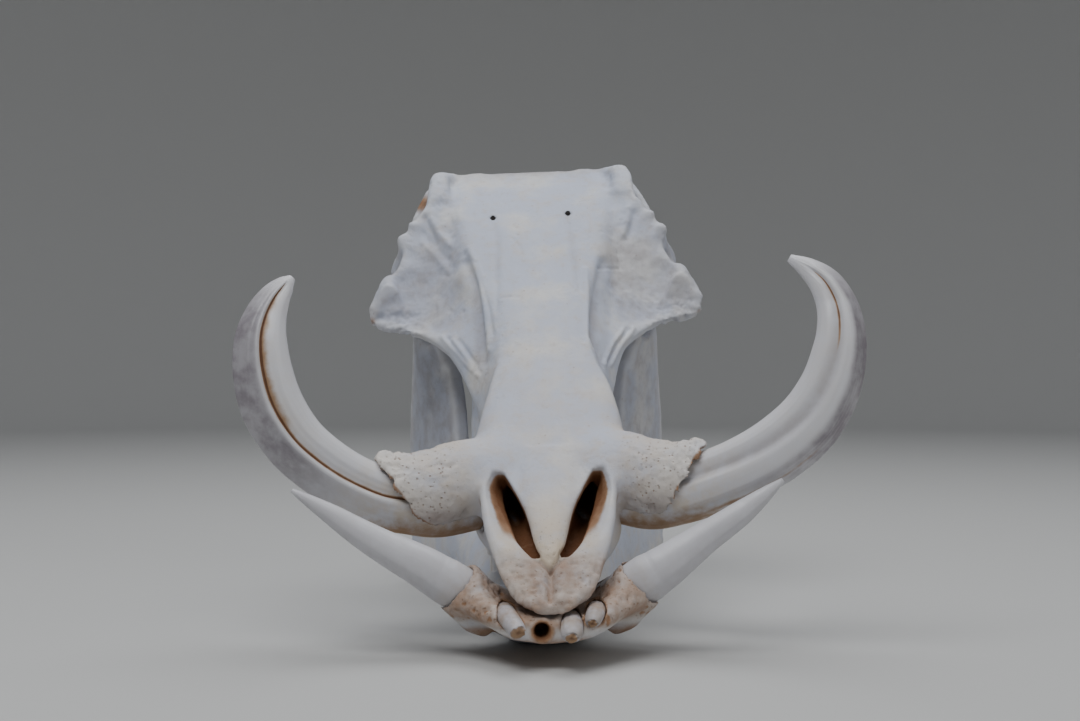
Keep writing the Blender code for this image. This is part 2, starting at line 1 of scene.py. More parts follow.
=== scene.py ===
import math
import time
import bpy
import numpy as np
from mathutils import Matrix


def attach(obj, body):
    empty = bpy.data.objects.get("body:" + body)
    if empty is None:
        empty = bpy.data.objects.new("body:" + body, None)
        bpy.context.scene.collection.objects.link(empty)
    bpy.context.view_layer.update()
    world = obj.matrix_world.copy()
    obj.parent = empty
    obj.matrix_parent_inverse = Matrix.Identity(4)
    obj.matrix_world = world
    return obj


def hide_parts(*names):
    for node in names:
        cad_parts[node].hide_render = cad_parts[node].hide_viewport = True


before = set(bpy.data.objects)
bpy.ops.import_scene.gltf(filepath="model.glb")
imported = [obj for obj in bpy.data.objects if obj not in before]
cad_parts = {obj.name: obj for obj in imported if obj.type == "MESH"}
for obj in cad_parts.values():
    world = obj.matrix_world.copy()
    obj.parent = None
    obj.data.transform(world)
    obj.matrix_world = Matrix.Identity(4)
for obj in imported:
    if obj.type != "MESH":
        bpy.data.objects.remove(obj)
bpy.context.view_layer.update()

import openvdb as vdb
from mathutils import Vector

started = time.time()

# Shapes are worked out in millimetres: x across, y back from the chin, z up from the ground.
# The cranium and the jaw are each drawn straight, then set down a little askew as they stand.
layout = {
    "origin": (5.3, 161.5, 0.0),        # this point becomes the world's middle
    "craniumLean": 2.5,                 # degrees
    "craniumPivot": (3.3, 0.0, 51.8),
    "jawShift": 6.8,
    "jawYaw": 1.5,                      # degrees
    "jawLean": 0.9,                     # degrees
}


def report(words):
    print("skull:", words, "at", round(time.time() - started, 1), "s")


# Curves and shells

def curveThrough(points, count):
    # Catmull-Rom: each new row is a cubic in the four given rows around it
    p = np.asarray(points, float)
    p = np.concatenate([[2 * p[0] - p[1]], p, [2 * p[-1] - p[-2]]])
    t = np.linspace(0, len(p) - 3 - 1e-9, count)
    k = t.astype(int)
    f = (t - k).reshape((-1,) + (1,) * (p.ndim - 1))
    a, b, c, d = p[k], p[k + 1], p[k + 2], p[k + 3]
    return 0.5 * (2 * b + (c - a) * f + (2 * a - 5 * b + 4 * c - d) * f ** 2
                  + (3 * b - a - 3 * c + d) * f ** 3)


def shellOf(rings):
    # quads between neighbouring rings, and a fan to a middle point at each end
    rows, cols = rings.shape[:2]
    points = np.concatenate([rings.reshape(-1, 3), rings[:1].mean(1), rings[-1:].mean(1)])
    i = np.arange(rows * cols).reshape(rows, cols)
    j = np.roll(i, -1, 1)
    quads = np.stack([i[:-1], j[:-1], j[1:], i[1:]], -1).reshape(-1, 4)
    first = np.stack([np.full(cols, rows * cols), j[0], i[0]], -1)
    last = np.stack([np.full(cols, rows * cols + 1), i[-1], j[-1]], -1)
    return points, quads, np.concatenate([first, last])


def flipped(shell):
    # the same shell mirrored in x, its faces turned round again
    points, quads, tris = shell
    return points * (-1, 1, 1), quads[:, ::-1], tris[:, ::-1]


def unit(v):
    return v / np.maximum(np.linalg.norm(v, axis=-1, keepdims=True), 1e-9)


def tubeShell(path, around=28, along=48):
    # centre + side * width * cos(a) + up * depth * sin(a), carried along the path's curve
    fine = curveThrough(path, along)
    centre = fine[:, :3]
    t = unit(np.gradient(centre, axis=0))
    side = np.cross(t, (0.0, 0.0, 1.0))
    side = np.where(np.linalg.norm(side, axis=1, keepdims=True) < 0.2, (1.0, 0.0, 0.0) - t * t[:, :1], side)
    side = unit(side)
    up = np.cross(side, t)
    a = np.linspace(0, 2 * np.pi, around, endpoint=False)[None, :, None]
    rings = (centre[:, None] + side[:, None] * np.cos(a) * fine[:, None, 3:4]
             + up[:, None] * np.sin(a) * fine[:, None, 4:5])
    return shellOf(rings)


def trunkShell(stations, around=36, along=150):
    # each station is a half outline at one y; outlines are splined along y, then around
    rows = np.array([[(x, y, z) for x, z in half] for y, half in stations], float)
    columns = curveThrough(rows, along)
    half = np.swapaxes(curveThrough(np.swapaxes(columns, 0, 1), around), 0, 1)
    half[..., 0] = np.maximum(half[..., 0], 0)
    other = half[:, -2:0:-1] * (-1, 1, 1)
    return shellOf(np.concatenate([half, other], 1))


def plateShell(rows, thick, push, across=36, along=110):
    # a splined sheet of front points, and the same sheet pushed back by its thickness
    sheet = curveThrough(rows, along)
    front = np.swapaxes(curveThrough(np.swapaxes(sheet, 0, 1), across), 0, 1)
    depth = curveThrough(np.array(thick, float)[:, None], along)[:, None]
    taper = 1 - 0.35 * np.linspace(0, 1, across)[None, :, None] ** 2
    back = front + unit(np.array(push, float)) * depth * taper
    return shellOf(np.concatenate([front, back[:, ::-1]], 1))


# Signed distance on a grid: joins shells with soft fillets and hollows them out

class Clay:
    def __init__(self, low, high, step, band=6):
        self.step = step
        self.band = band
        self.low = np.floor(np.array(low) / step).astype(int)
        size = np.ceil(np.array(high) / step).astype(int) - self.low
        self.space = vdb.createLinearTransform(step)
        self.field = np.full(size, band * step, np.float32)

    def part(self, shell):
        # the shell's own distances, on the block of cells round it
        points, quads, tris = shell
        grid = vdb.FloatGrid.createLevelSetFromPolygons(
            points.astype(np.float32), triangles=tris.astype(np.uint32),
            quads=quads.astype(np.uint32), transform=self.space, halfWidth=float(self.band))
        size = np.array(self.field.shape)
        pad = self.band + 1
        a = np.clip(np.floor(points.min(0) / self.step).astype(int) - pad - self.low, 0, size)
        b = np.clip(np.ceil(points.max(0) / self.step).astype(int) + pad - self.low, 0, size)
        block = np.empty(b - a, np.float32)
        grid.copyToArray(block, ijk=tuple(int(v) for v in a + self.low))
        return block, tuple(slice(i, j) for i, j in zip(a, b))

    def add(self, shell, soft=4.0):
        # smooth minimum of the two distances, rounding the corner over the soft width
        block, place = self.part(shell)
        here = self.field[place]
        h = np.clip(0.5 + 0.5 * (here - block) / soft, 0, 1)
        self.field[place] = here * (1 - h) + block * h - soft * h * (1 - h)

    def cut(self, shell, soft=1.0):
        # smooth maximum of the distance and the cutter's, turned inside out
        block, place = self.part(shell)
        here = self.field[place]
        h = np.clip(0.5 - 0.5 * (here + block) / soft, 0, 1)
        self.field[place] = here * (1 - h) - block * h + soft * h * (1 - h)

    def trim(self, left, right, ragged, reach=125, clear=50):
        # low on the muzzle, takes off what lies farther out than a ragged limit of x at each height
        x, y, z = [(np.arange(count) + low) * self.step for count, low in zip(self.field.shape, self.low)]
        place = np.ix_(np.ones(len(x), bool), y < reach, z < reach)
        yy, zz = np.meshgrid(y[y < reach], z[z < reach], indexing="ij")
        flat = np.stack([yy.ravel(), zz.ravel(), 0 * yy.ravel()], 1)
        teeth = raised(flat, ragged).reshape(yy.shape)
        for sign, rows in ((1, left), (-1, right)):
            height, limit = np.array(rows, float).T
            edge = np.interp(zz, height, limit) + teeth * sign
            outward = sign * x[:, None, None]
            beyond = np.where(outward > clear, outward - edge[None], -reach)
            self.field[place] = np.maximum(self.field[place], beyond)

    def soften(self, times):
        # 1-2-1 average along each axis in turn
        f = self.field
        for _ in range(times):
            for axis in range(3):
                f = np.moveaxis(f, axis, 0)
                g = f.copy()
                g[1:-1] = 0.25 * f[:-2] + 0.5 * f[1:-1] + 0.25 * f[2:]
                f = np.moveaxis(g, 0, axis)
        self.field = np.ascontiguousarray(f)

    def hollowness(self, radius):
        # share of solid round each cell, twice averaged over a box: above a half in dents, below on edges
        f = (self.field < 0).astype(np.float32)
        n = max(1, int(round(radius / self.step)))
        for _ in range(2):
            for axis in range(3):
                f = np.moveaxis(f, axis, 0)
                padded = np.concatenate([np.repeat(f[:1], n + 1, 0), f, np.repeat(f[-1:], n, 0)])
                total = np.cumsum(padded, 0, dtype=np.float64)
                f = ((total[2 * n + 1:] - total[:-2 * n - 1]) / (2 * n + 1)).astype(np.float32)
                f = np.moveaxis(f, 0, axis)
        return f

    def sample(self, grid, points):
        # trilinear reading of a grid at points
        p = np.clip(points / self.step - self.low, 0, np.array(grid.shape) - 1.001)
        i = p.astype(int)
        return blended(p - i, lambda *corner: grid[tuple((i + corner).T)])

    def surface(self):
        # the zero level as quads, keeping only the largest connected body
        grid = vdb.FloatGrid(self.band * self.step)
        grid.transform = self.space
        grid.copyFromArray(self.field, ijk=tuple(int(v) for v in self.low))
        points, quads = grid.convertToQuads(isovalue=0.0)
        points = points.astype(float)
        quads = quads.astype(int)
        label = np.arange(len(points))
        while True:
            low = label[quads].min(1)
            new = label.copy()
            np.minimum.at(new, quads.ravel(), np.repeat(low, 4))
            new = new[new]
            if (new == label).all():
                break
            label = new
        names, counts = np.unique(label[quads[:, 0]], return_counts=True)
        quads = quads[label[quads[:, 0]] == names[counts.argmax()]]
        used, inverse = np.unique(quads, return_inverse=True)
        return points[used], inverse.reshape(-1, 4)


def relax(points, quads, times, amount=0.5):
    # move each vertex toward the mean of its neighbours
    a = quads.ravel()
    b = np.roll(quads, -1, 1).ravel()
    n = len(points)
    count = np.bincount(a, minlength=n) + np.bincount(b, minlength=n)
    for _ in range(times):
        sums = [np.bincount(a, points[b, k], n) + np.bincount(b, points[a, k], n) for k in range(3)]
        points = points + (np.stack(sums, 1) / count[:, None] - points) * amount
    return points


def normalsOf(points, quads):
    # area-weighted mean of the face normals round each vertex
    v = points[quads]
    n = np.cross(v[:, 2] - v[:, 0], v[:, 3] - v[:, 1])
    total = np.stack([np.bincount(quads.ravel(), np.repeat(n[:, k], 4), len(points)) for k in range(3)], 1)
    return unit(total)


def blended(f, valueAt):
    # trilinear: the values at a cell's eight corners, weighted by the place f within the cell
    out = 0
    for dx in (0, 1):
        for dy in (0, 1):
            for dz in (0, 1):
                w = np.abs(1 - dx - f[:, 0]) * np.abs(1 - dy - f[:, 1]) * np.abs(1 - dz - f[:, 2])
                out = out + w * valueAt(dx, dy, dz)
    return out


# odd whole numbers that scatter a lattice place into a random one, and the bits that are kept
hashing = {"place": (73856093, 19349663, 83492791), "seed": 2654435761, "mix": 1274126177, "bits": 0xFFFFF}


def speckle(points, size, seed):
    # value noise: hashed corner values of a lattice, blended by smooth cubic weights
    p = points / size
    i = np.floor(p).astype(np.int64)
    f = p - i

    def hashed(*corner):
        h = (i + corner) * hashing["place"]
        h = h[:, 0] ^ h[:, 1] ^ h[:, 2] ^ (seed * hashing["seed"])
        h = (h ^ (h >> 13)) * hashing["mix"]
        return ((h ^ (h >> 16)) & hashing["bits"]) / hashing["bits"]

    return blended(f * f * (3 - 2 * f), hashed) * 2 - 1


def cloudy(points, size, seed, octaves=3):
    # several layers of value noise, each half as big and half as strong
    out = 0
    for k in range(octaves):
        out = out + speckle(points, size / 2 ** k, seed + k) * 0.5 ** k
    return out


def farFrom(points, path):
    # shortest distance from each point to a polyline
    path = np.asarray(path, float)
    best = np.full(len(points), 1e9)
    for a, b in zip(path[:-1], path[1:]):
        d = b - a
        t = np.clip(((points - a) @ d) / (d @ d), 0, 1)
        best = np.minimum(best, np.linalg.norm(points - a - t[:, None] * d, axis=1))
    return best


def near(points, centre, radii):
    # a soft ball: exp(-1.6 d^2), 1 at the centre and a fifth at the radii
    d = np.linalg.norm((points - np.array(centre, float)) / np.array(radii, float), axis=1)
    return np.exp(-d * d * 1.6)


def ramp(value, low, high):
    # 0 below low, 1 above high, an S between
    t = np.clip((value - low) / (high - low), 0, 1)
    return t * t * (3 - 2 * t)


def raised(points, row):
    # cloudy noise times its height, from a row of height, size, seed and octaves
    height, size, seed, octaves = row
    return height * cloudy(points, size, seed, octaves)


def pitted(points, row):
    # scattered pits: depth times a step of value noise, from a row of depth, size, seed and two levels
    depth, size, seed, low, high = row
    return depth * ramp(speckle(points, size, seed), low, high)


def strongest(places, amounts):
    # at each point the largest of the named places, each times its amount
    return np.clip(np.maximum.reduce([places[name] * amount for name, amount in amounts.items()]), 0, 1)


def seenFrom(points, path, behind=14.0):
    # distance to a polyline as seen from the front, in x and z alone, growing fast where a point
    # is more than the given length before or behind it
    path = np.asarray(path, float)
    best = np.full(len(points), 1e9)
    flat = points[:, (0, 2)]
    for a, b in zip(path[:-1], path[1:]):
        d = (b - a)[[0, 2]]
        t = np.clip(((flat - a[[0, 2]]) @ d) / max(d @ d, 1e-6), 0, 1)
        off = np.linalg.norm(flat - a[[0, 2]] - t[:, None] * d, axis=1)
        depth = np.abs(points[:, 1] - a[1] - t * (b - a)[1])
        best = np.minimum(best, off + 4 * np.maximum(depth - behind, 0))
    return best


# Placing

sides = (("left", 1), ("right", -1))    # the animal's own, and their sign in x


def turned(points, angle, axis):
    # rotation by an angle in degrees about y or z
    a = math.radians(angle)
    c, s = math.cos(a), math.sin(a)
    x, y, z = points[:, 0], points[:, 1], points[:, 2]
    if axis == "y":
        return np.stack([c * x + s * z, y, -s * x + c * z], 1)
    return np.stack([c * x - s * y, s * x + c * y, z], 1)


def onCranium(points):
    # leaned about the pivot, then from the layout's millimetres to metres
    px, _, pz = layout["craniumPivot"]
    p = turned(points - (0, 0, pz), -layout["craniumLean"], "y") + (px, 0, pz)
    return (p - layout["origin"]) * 0.001


def onJaw(points):
    # leaned and turned about the layout's zero, moved aside, then to metres
    p = turned(points, -layout["jawLean"], "y")
    p = turned(p, layout["jawYaw"], "z") + (layout["jawShift"], 0, 0)
    return (p - layout["origin"]) * 0.001


def makePiece(name, points, faces, masks=None):
    # a smooth mesh at the origin, each mask a number at every point
    mesh = bpy.data.meshes.new(name)
    mesh.from_pydata(points, [], faces)
    mesh.validate()
    for key, values in (masks or {}).items():
        layer = mesh.attributes.new(key, 'FLOAT', 'POINT')
        layer.data.foreach_set("value", np.ascontiguousarray(values, np.float32))
    mesh.shade_smooth()
    piece = bpy.data.objects.new(name, mesh)
    bpy.context.scene.collection.objects.link(piece)
    return piece


def finished(piece, paint, node):
    # painted and told to the frame: it rides the one body and stands in for its node
    piece.data.materials.append(paint)
    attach(piece, "root")
    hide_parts(node)
    report("%s has %d faces" % (piece.name, len(piece.data.polygons)))
    return piece


def thinnedMesh(points, quads, target):
    # collapse short, flat edges until the triangle count is met
    mesh = bpy.data.meshes.new("work")
    mesh.from_pydata(points, [], quads)
    work = bpy.data.objects.new("work", mesh)
    bpy.context.scene.collection.objects.link(work)
    step = work.modifiers.new("Thin", 'DECIMATE')
    step.ratio = min(1.0, target / (2 * len(quads)))
    graph = bpy.context.evaluated_depsgraph_get()
    result = work.evaluated_get(graph).data
    count = len(result.vertices)
    out = np.empty(count * 3, np.float32)
    result.vertices.foreach_get("co", out)
    result.calc_loop_triangles()
    tris = np.empty(len(result.loop_triangles) * 3, np.int32)
    result.loop_triangles.foreach_get("vertices", tris)
    bpy.data.objects.remove(work, do_unlink=True)
    bpy.data.meshes.remove(mesh)
    return out.reshape(-1, 3).astype(float), tris.reshape(-1, 3)


# Cranium

cranium = {
    "cell": 1.25,               # grid step
    "low": (-122, -6, 16),      # the grid's two far corners
    "high": (122, 348, 310),
    "triangles": 196000,
    "dentReach": 7.5,           # how far round a point the share of bone is taken
    # how wide each joint or cut is rounded
    "soft": {"trunk": 0.5, "nasalTip": 2.5, "cheek": 7.0, "bars": 6.0, "nose": 1.2, "throat": 2.0,
             "sockets": 0.6},
    # half outlines of muzzle, brow and braincase: y, then x and z from the top round to the underside
    "trunk": [
        (1.5, [(0, 33), (3, 33), (7, 32.5), (8.5, 31), (8, 29.2), (4, 28.2), (0, 28)]),
        (5, [(0, 37), (6, 37), (12, 36.5), (14, 35), (12.5, 32), (7, 29.2), (0, 28.6)]),
        (12, [(0, 43), (9, 43.3), (18, 43), (21.5, 40), (20, 35.5), (14, 31.8), (0, 30.4)]),
        (20, [(0, 51), (9, 51), (21, 51), (26.5, 47.5), (23.5, 40), (16.5, 33), (0, 31)]),
        (28, [(0, 58), (9, 58.5), (22.5, 58.5), (30, 54.5), (25.5, 44), (20, 35.5), (0, 32.5)]),
        (45, [(0, 76), (14, 76), (28, 78), (35.8, 73), (31.5, 55), (24, 41), (0, 36.5)]),
        (66, [(0, 97), (18, 97), (32, 100), (39.4, 94), (36, 72), (30, 46), (0, 40)]),
        (85, [(0, 116), (20, 115), (36, 112), (42.6, 101), (42, 76), (34, 50), (0, 44)]),
        (105, [(0, 135), (18, 133.5), (34, 129), (43.5, 117), (44, 90), (36, 56), (0, 50)]),
        (128, [(0, 156), (15, 155), (30, 151), (36.5, 143), (38, 110), (35, 64), (0, 57)]),
        (150, [(0, 176), (14, 175), (25, 171), (29, 162), (34, 125), (36, 73), (0, 64)]),
        (175, [(0, 200), (17, 199), (29, 194), (34, 180), (39, 140), (40, 81), (0, 71)]),
        (200, [(0, 223), (22, 222.5), (38, 217), (44, 200), (44, 150), (42, 91), (0, 79)]),
        (220, [(0, 243), (30, 243), (46, 238), (50, 215), (44, 165), (36, 104), (0, 94)]),
        (240, [(0, 261), (34, 262), (51, 259), (48, 232), (39, 184), (26, 140), (0, 132)]),
        (258, [(0, 276), (36, 277), (52, 276), (45, 245), (38, 200), (26, 162), (0, 156)]),
        (278, [(0, 290), (34, 290.5), (48, 290), (42, 262), (39, 220), (28, 178), (0, 173)]),
        (296, [(0, 298), (26, 298), (44, 296), (42, 268), (41, 228), (30, 190), (0, 186)]),
        (305, [(0, 292), (22, 292), (40, 288), (42, 260), (41, 226), (28, 192), (0, 188)]),
        (317, [(0, 258), (16, 257), (32, 251), (36, 234), (33, 214), (20, 195), (0, 191)]),
        (327, [(0, 225), (10, 224), (18, 220), (22, 212), (20, 203), (12, 197), (0, 195)]),
    ],
    # the cheek wing's front face in rows from the top down, each from the inside out
    "cheek": [
        [(40, 284, 287), (50, 280, 291), (59, 274, 294), (66, 268, 295.5)],
        [(42, 255, 271), (54, 253, 272), (64, 250, 272.5), (72, 248, 272.5)],
        [(44, 240, 256), (58, 242, 257), (72, 243, 257), (84, 245, 255.5)],
        [(43, 228, 243), (58, 235, 246), (75, 239, 246), (90.5, 240, 245)],
        [(41, 216, 231), (57, 230, 237), (74, 234, 237), (88.5, 236, 237)],
        [(39, 206, 221), (56, 224, 226), (75, 230, 227), (93, 228, 225)],
        [(35, 195, 209), (52, 215, 213), (77, 226, 213), (105, 222, 211)],
        [(31, 184, 197), (48, 205, 201), (78, 219, 199), (111, 215, 196)],
        [(29, 172, 185), (45, 194, 191), (73, 210, 188), (106, 211, 188)],
        [(28, 160, 175), (41, 180, 179), (60, 193, 179), (82, 203, 182)],
        [(29, 150, 165), (38, 167, 167), (48, 178, 168), (60, 188, 169.5)],
        [(31, 141, 152), (37, 155, 151), (43, 168, 152), (50, 178, 153.5)],
        [(32, 134, 138), (35, 146, 137), (39, 157, 136), (43, 166, 135)],
        [(32, 128, 124), (34, 138, 123), (36, 148, 122), (38, 156, 121)],
    ],
    "cheekThick": [9, 11, 13, 14, 14, 14, 14, 13, 12, 12, 14, 14, 13, 10],
    # each bar: centre, half width, half depth
    "bars": {
        "arch": [(97, 216, 202, 8, 13), (99, 229, 203, 6, 18), (98, 245, 205, 5, 18),
                 (94, 262, 210, 5, 14.5), (87, 278, 214.5, 7, 11.5), (74, 291, 217, 10, 11),
                 (52, 298, 218, 12, 14), (30, 300, 218, 10, 14)],
        "eyeLowerRim": [(83, 243, 244, 5, 6), (87, 249, 236, 5, 8), (91, 257, 227, 5, 10),
                        (94, 268, 217, 5, 9)],
        "brow": [(63, 254, 274, 7, 4), (64, 262, 286, 6.5, 4.5), (63, 271, 292.5, 6, 4.5),
                 (58, 283, 293.5, 6, 4.5), (50, 294, 293, 7, 5), (40, 301, 289, 9, 7)],
        "eyeBackRim": [(56, 288, 291, 6, 5), (67, 284, 286, 5, 4.5), (74, 277, 275, 4, 5),
                       (80, 272, 258, 4, 6), (86, 268, 240, 4.5, 7), (91, 266, 224, 5, 9)],
        "temple": [(78, 291, 214, 9, 9), (68, 297, 236, 6, 9), (58, 301, 262, 5, 8), (48, 303, 285, 6, 7),
                   (34, 303, 292, 6, 7)],
        "tuskSleeve": [(22, 98, 98, 24, 20), (45, 87, 94, 24, 23), (62, 79, 88.5, 22, 24),
                       (76, 75, 88, 20.5, 23.5), (87, 74, 92, 20, 21), (99, 73, 99, 18, 16)],
        "neckKnob": [(14, 318, 196, 9, 9), (15, 328, 196, 10, 10), (15, 336, 197, 7, 7)],
        "throatSpur": [(38, 306, 212, 10, 10), (41, 310, 192, 7, 9), (41, 308, 168, 4.5, 6),
                       (39, 304, 145, 2.5, 3.5)],
        "earBulb": [(26, 283, 186, 9, 9), (26, 282, 172, 9, 9), (25, 280, 157, 5, 5)],
        "palateWing": [(18, 222, 118, 3.5, 12), (20, 236, 128, 3, 17), (22, 250, 142, 3, 16),
                       (22, 264, 158, 3, 12)],
        "toothRidge": [(30, 118, 60, 9, 12), (31, 145, 70, 12, 14), (31, 175, 79, 13, 15),
                       (31, 205, 89, 12, 14), (28, 217, 96, 8, 10)],
    },
    # more bars along the middle or on one side: the nasal bones' point, and what is cut away
    "nasalTip": [(0, 24, 54.5, 3.4, 2.4), (0, 30, 61, 6, 3), (0, 40, 71.5, 9.6, 3.4), (0, 56, 87, 14, 3.5),
                 (0, 80, 110, 16, 3)],
    # nose opening: x of nasal edge, slit's outer edge and muzzle rim, y, z, depth of wall and of slit
    "slot": [(6.2, 8.6, 12, 25, 55.5, 0.8, 6), (9.5, 16.5, 29, 34, 65, 4.5, 15),
             (13.3, 21.5, 32.6, 47, 78.5, 8, 22), (20, 24.5, 34.4, 58, 90, 11, 26),
             (25.5, 27, 30.5, 66, 98.5, 13, 26)],
    "nostril": [(9, 36, 55, 2.5, 3.5), (13, 45, 61, 4, 6), (18, 58, 68, 6, 9), (20, 72, 76, 7, 12),
                (20, 86, 82, 7, 13), (18, 108, 90, 5, 9)],
    "throat": [(0, 206, 96, 11, 12), (0, 225, 116, 13, 13), (0, 242, 136, 12, 9)],
    "neckHole": [(0, 342, 208, 12, 10), (0, 326, 210, 12, 10), (0, 306, 216, 11, 10), (0, 285, 226, 9, 8)],
    "earHole": [(70, 300, 240, 3.5, 3.5), (52, 297, 240, 3.5, 3.5)],
    # broken edge of the tusk sleeve: height, distance from the middle
    "rimLeft": [(62, 62), (70, 68), (76, 71), (81.3, 73.3), (87.4, 75.2), (93.6, 82.7), (97, 82.4),
                (100.6, 84.4), (104, 86), (109, 91), (113, 96), (120, 98)],
    "rimRight": [(62, 58), (68, 60), (73, 66), (76, 71), (80, 74), (85, 76.5), (90, 79), (95, 83),
                 (99.7, 84.5), (102, 88), (107, 93.5), (120, 96)],
    # the muzzle's bend to its left: how far at each y
    "swayAt": (0, 25, 65, 95, 125, 150, 185, 215),
    "swayBy": (2.2, 2.4, 3.2, 5.6, 6.4, 4.8, 1.5, 0),
    # furrows and ridges as seen from the front: width, height, path
    "creases": [
        (2.2, -0.9, [(-26.3, 233, 255), (-23.1, 218, 242), (-24, 202, 224), (-24.3, 185, 206),
                     (-25.1, 172, 193)]),
        (2.2, -0.9, [(24.6, 233, 256), (26, 213, 236), (27.6, 198, 219), (29.1, 184, 204)]),
        (2.4, 1.7, [(-42, 217, 236), (-36.7, 203, 221), (-32.9, 184, 200), (-31.3, 169, 181),
                    (-30, 158, 168)]),
        (1.4, -1.0, [(-38, 207, 226), (-34, 193, 211), (-29.5, 178, 193), (-28, 165, 178)]),
        (3.6, -3.2, [(-44.8, 213, 227), (-39.5, 198, 211), (-37.1, 186, 194), (-35.7, 174, 178),
                     (-36, 165, 162)]),
        (3.6, -2.4, [(46.8, 213, 223), (41, 197, 207), (37, 181, 188), (35.5, 167, 172), (37, 162, 156)]),
        (1.8, 1.4, [(34.1, 199, 218), (33.6, 184, 198), (32.3, 175, 183), (31.2, 161, 168),
                    (33.5, 150, 154)]),
        (2.2, -2.4, [(-73, 245, 262), (-69.1, 241, 252), (-65.7, 236, 243)]),
        (2.6, 1.7, [(-69, 244, 260), (-63.5, 239, 250), (-55.5, 231, 240)]),
        (2.6, -1.4, [(-74, 240, 251), (-66, 234, 240), (-58, 228, 231)]),
        (2.6, 1.5, [(-74, 237, 243), (-65.8, 231, 234), (-58, 225, 223)]),
        (2.6, 1.6, [(66.5, 244, 262), (64.2, 240, 252), (61.3, 235, 243)]),
        (2.4, -1.6, [(71, 244, 259), (67.5, 239, 247), (64, 236, 240)]),
        (1.7, 1.5, [(-61, 192, 177.5), (-51, 186, 167), (-42, 178, 156)]),
        (1.5, -1.5, [(-57.5, 189, 176.5), (-49, 183, 166), (-40, 172, 155)]),
        (1.7, 1.5, [(-54, 186, 175), (-46.5, 180, 165), (-38.5, 166, 153)]),
        (1.5, -1.2, [(-50, 184, 175), (-43.5, 177, 165), (-37, 165, 154)]),
        (1.7, 1.6, [(63, 194, 178), (54, 188, 168), (46, 180, 156)]),
        (1.6, -1.8, [(60, 191, 178), (51, 184, 168), (44, 176, 156)]),
        (1.7, 1.4, [(56, 188, 177), (48, 181, 167), (42, 172, 156)]),
        (0.9, -0.5, [(-21.8, 179, 201), (-16, 178, 201.6), (-10.5, 177, 201.2)]),
        (0.9, -0.5, [(-14, 222, 244), (-9, 215, 237), (-6, 208, 230)]),
        (1.0, -0.7, [(42.7, 206, 220), (50.7, 217, 219.6), (58.3, 221, 219), (56.7, 226, 230)]),
        (1.3, -1.1, [(-57, 64.5, 104.9), (-53.1, 64, 103.2), (-48.6, 65, 104.4)]),
        (1.6, -3.6, [(2.2, 21, 49.5), (2.0, 12, 43), (1.2, 6, 36)]),
        (1.3, -3.4, [(-6.4, 28, 57), (-1.8, 24, 52.2), (2.0, 23, 49.8), (5.8, 24, 52.4), (9.9, 28, 57.4)]),
        (3.4, 1.5, [(8, 20, 50), (8.2, 12, 43), (7, 6, 37)]),
        (3.4, 1.3, [(-3.6, 20, 50), (-3.6, 12, 43), (-3, 6, 37)]),
        (1.0, -0.35, [(2.6, 30, 62), (4, 60, 93), (6.5, 95, 128), (6, 130, 160)]),
    ],
    # knobs and pits: radius, height, centre
    "knobs": [
        (4.0, 3.2, (-88, 244, 246)), (3.5, 2.6, (-81, 245, 256.5)), (3.2, 2.2, (76, 250, 268)),
        (3.6, 2.8, (80.5, 246, 257.5)), (4.2, 3.4, (87.5, 241, 246)), (5, 2.4, (-109, 215, 199)),
        (5, 2.4, (109, 215, 199)), (2.2, -1.6, (-45.5, 217, 232.5)), (1.6, -1.0, (-66, 213, 197.6)),
        (1.5, -0.9, (-56.7, 207, 196)), (1.6, -1.1, (-47.2, 198, 194)), (1.4, -0.8, (-10.3, 228, 250.3)),
        (1.3, -0.7, (-9.9, 222, 245)), (2.2, -3.0, (-43.9, 67, 77.5)), (2.2, -3.0, (59, 61, 75.3)),
        (1.5, -1.0, (-4, 7, 38.7)), (1.7, -1.3, (18.5, 13, 43.9)), (1.3, -0.9, (-7, 10, 41.3)),
        (1.3, -1.0, (21, 15, 45.6)), (2.0, -3.2, (-26.3, 237, 259.1)), (2.0, -3.2, (24.9, 238, 260.4)),
        (1.6, -1.2, (1.6, 3, 31)), (7, 1.6, (-62, 238, 262)), (7, 1.6, (60, 238, 262)),
        (9, 1.8, (-50, 213, 216)),
    ],
    # noise in the surface: height, size, seed, octaves; and pits: depth, size, seed, two levels
    "relief": {"broad": (0.45, 24, 5, 3), "fine": (0.10, 5, 9, 2), "sleeve": (0.42, 3.0, 21, 3),
               "wingEdge": (2.0, 4.5, 41, 3), "wing": (0.65, 9, 61, 3), "wingFine": (0.22, 2.8, 67, 2),
               "tip": (0.5, 4.4, 71, 3), "back": (0.6, 8, 51, 3), "rim": (1.6, 6.5, 61, 3)},
    "pits": {"sleeve": (0.35, 2.2, 31, 0.30, 0.75), "tip": (0.8, 2.6, 77, 0.35, 0.75)},
    "hairline": 0.30,           # depth of the fine cracks along the brow and nose
    "slitMiddle": [(8, 30, 58), (15, 46, 70), (20, 60, 82), (24, 72, 92)],
    "slitBend": 2.9,            # how far the bend moves both nose openings
    "tipBelow": (2.0, 49.8, 0.9),       # the nasal point's underside: x and z of the point, slope beside it
    "eyeSocket": ((66, 264, 262), (16, 20, 24)),
    "wingTips": [((-109, 216, 191), (4, 9, 5)), ((109, 217, 188), (4, 9, 4))],
    "brownCorner": ((-77, 272, 278), (8, 8, 14)),
    # how much brown each place takes, from real stains and from painted shade, and how much lilac grey,
    # which is painted shade
    "stains": {"noseWall": 0.62, "noseSlit": 0.92, "channel": 1.0, "blotch": 0.30, "root": 0.75, "eye": 0.8,
               "under": 0.18, "wingTip": 0.3, "valley": 0.10, "corner": 0.55, "rim": 0.42, "lip": 0.25},
    "greys": {"wingAndBack": 1.0, "lip": 0.95, "under": 1.0, "hollow": 0.75},
    # past these metres back and up, the back and the top are drawn in a little
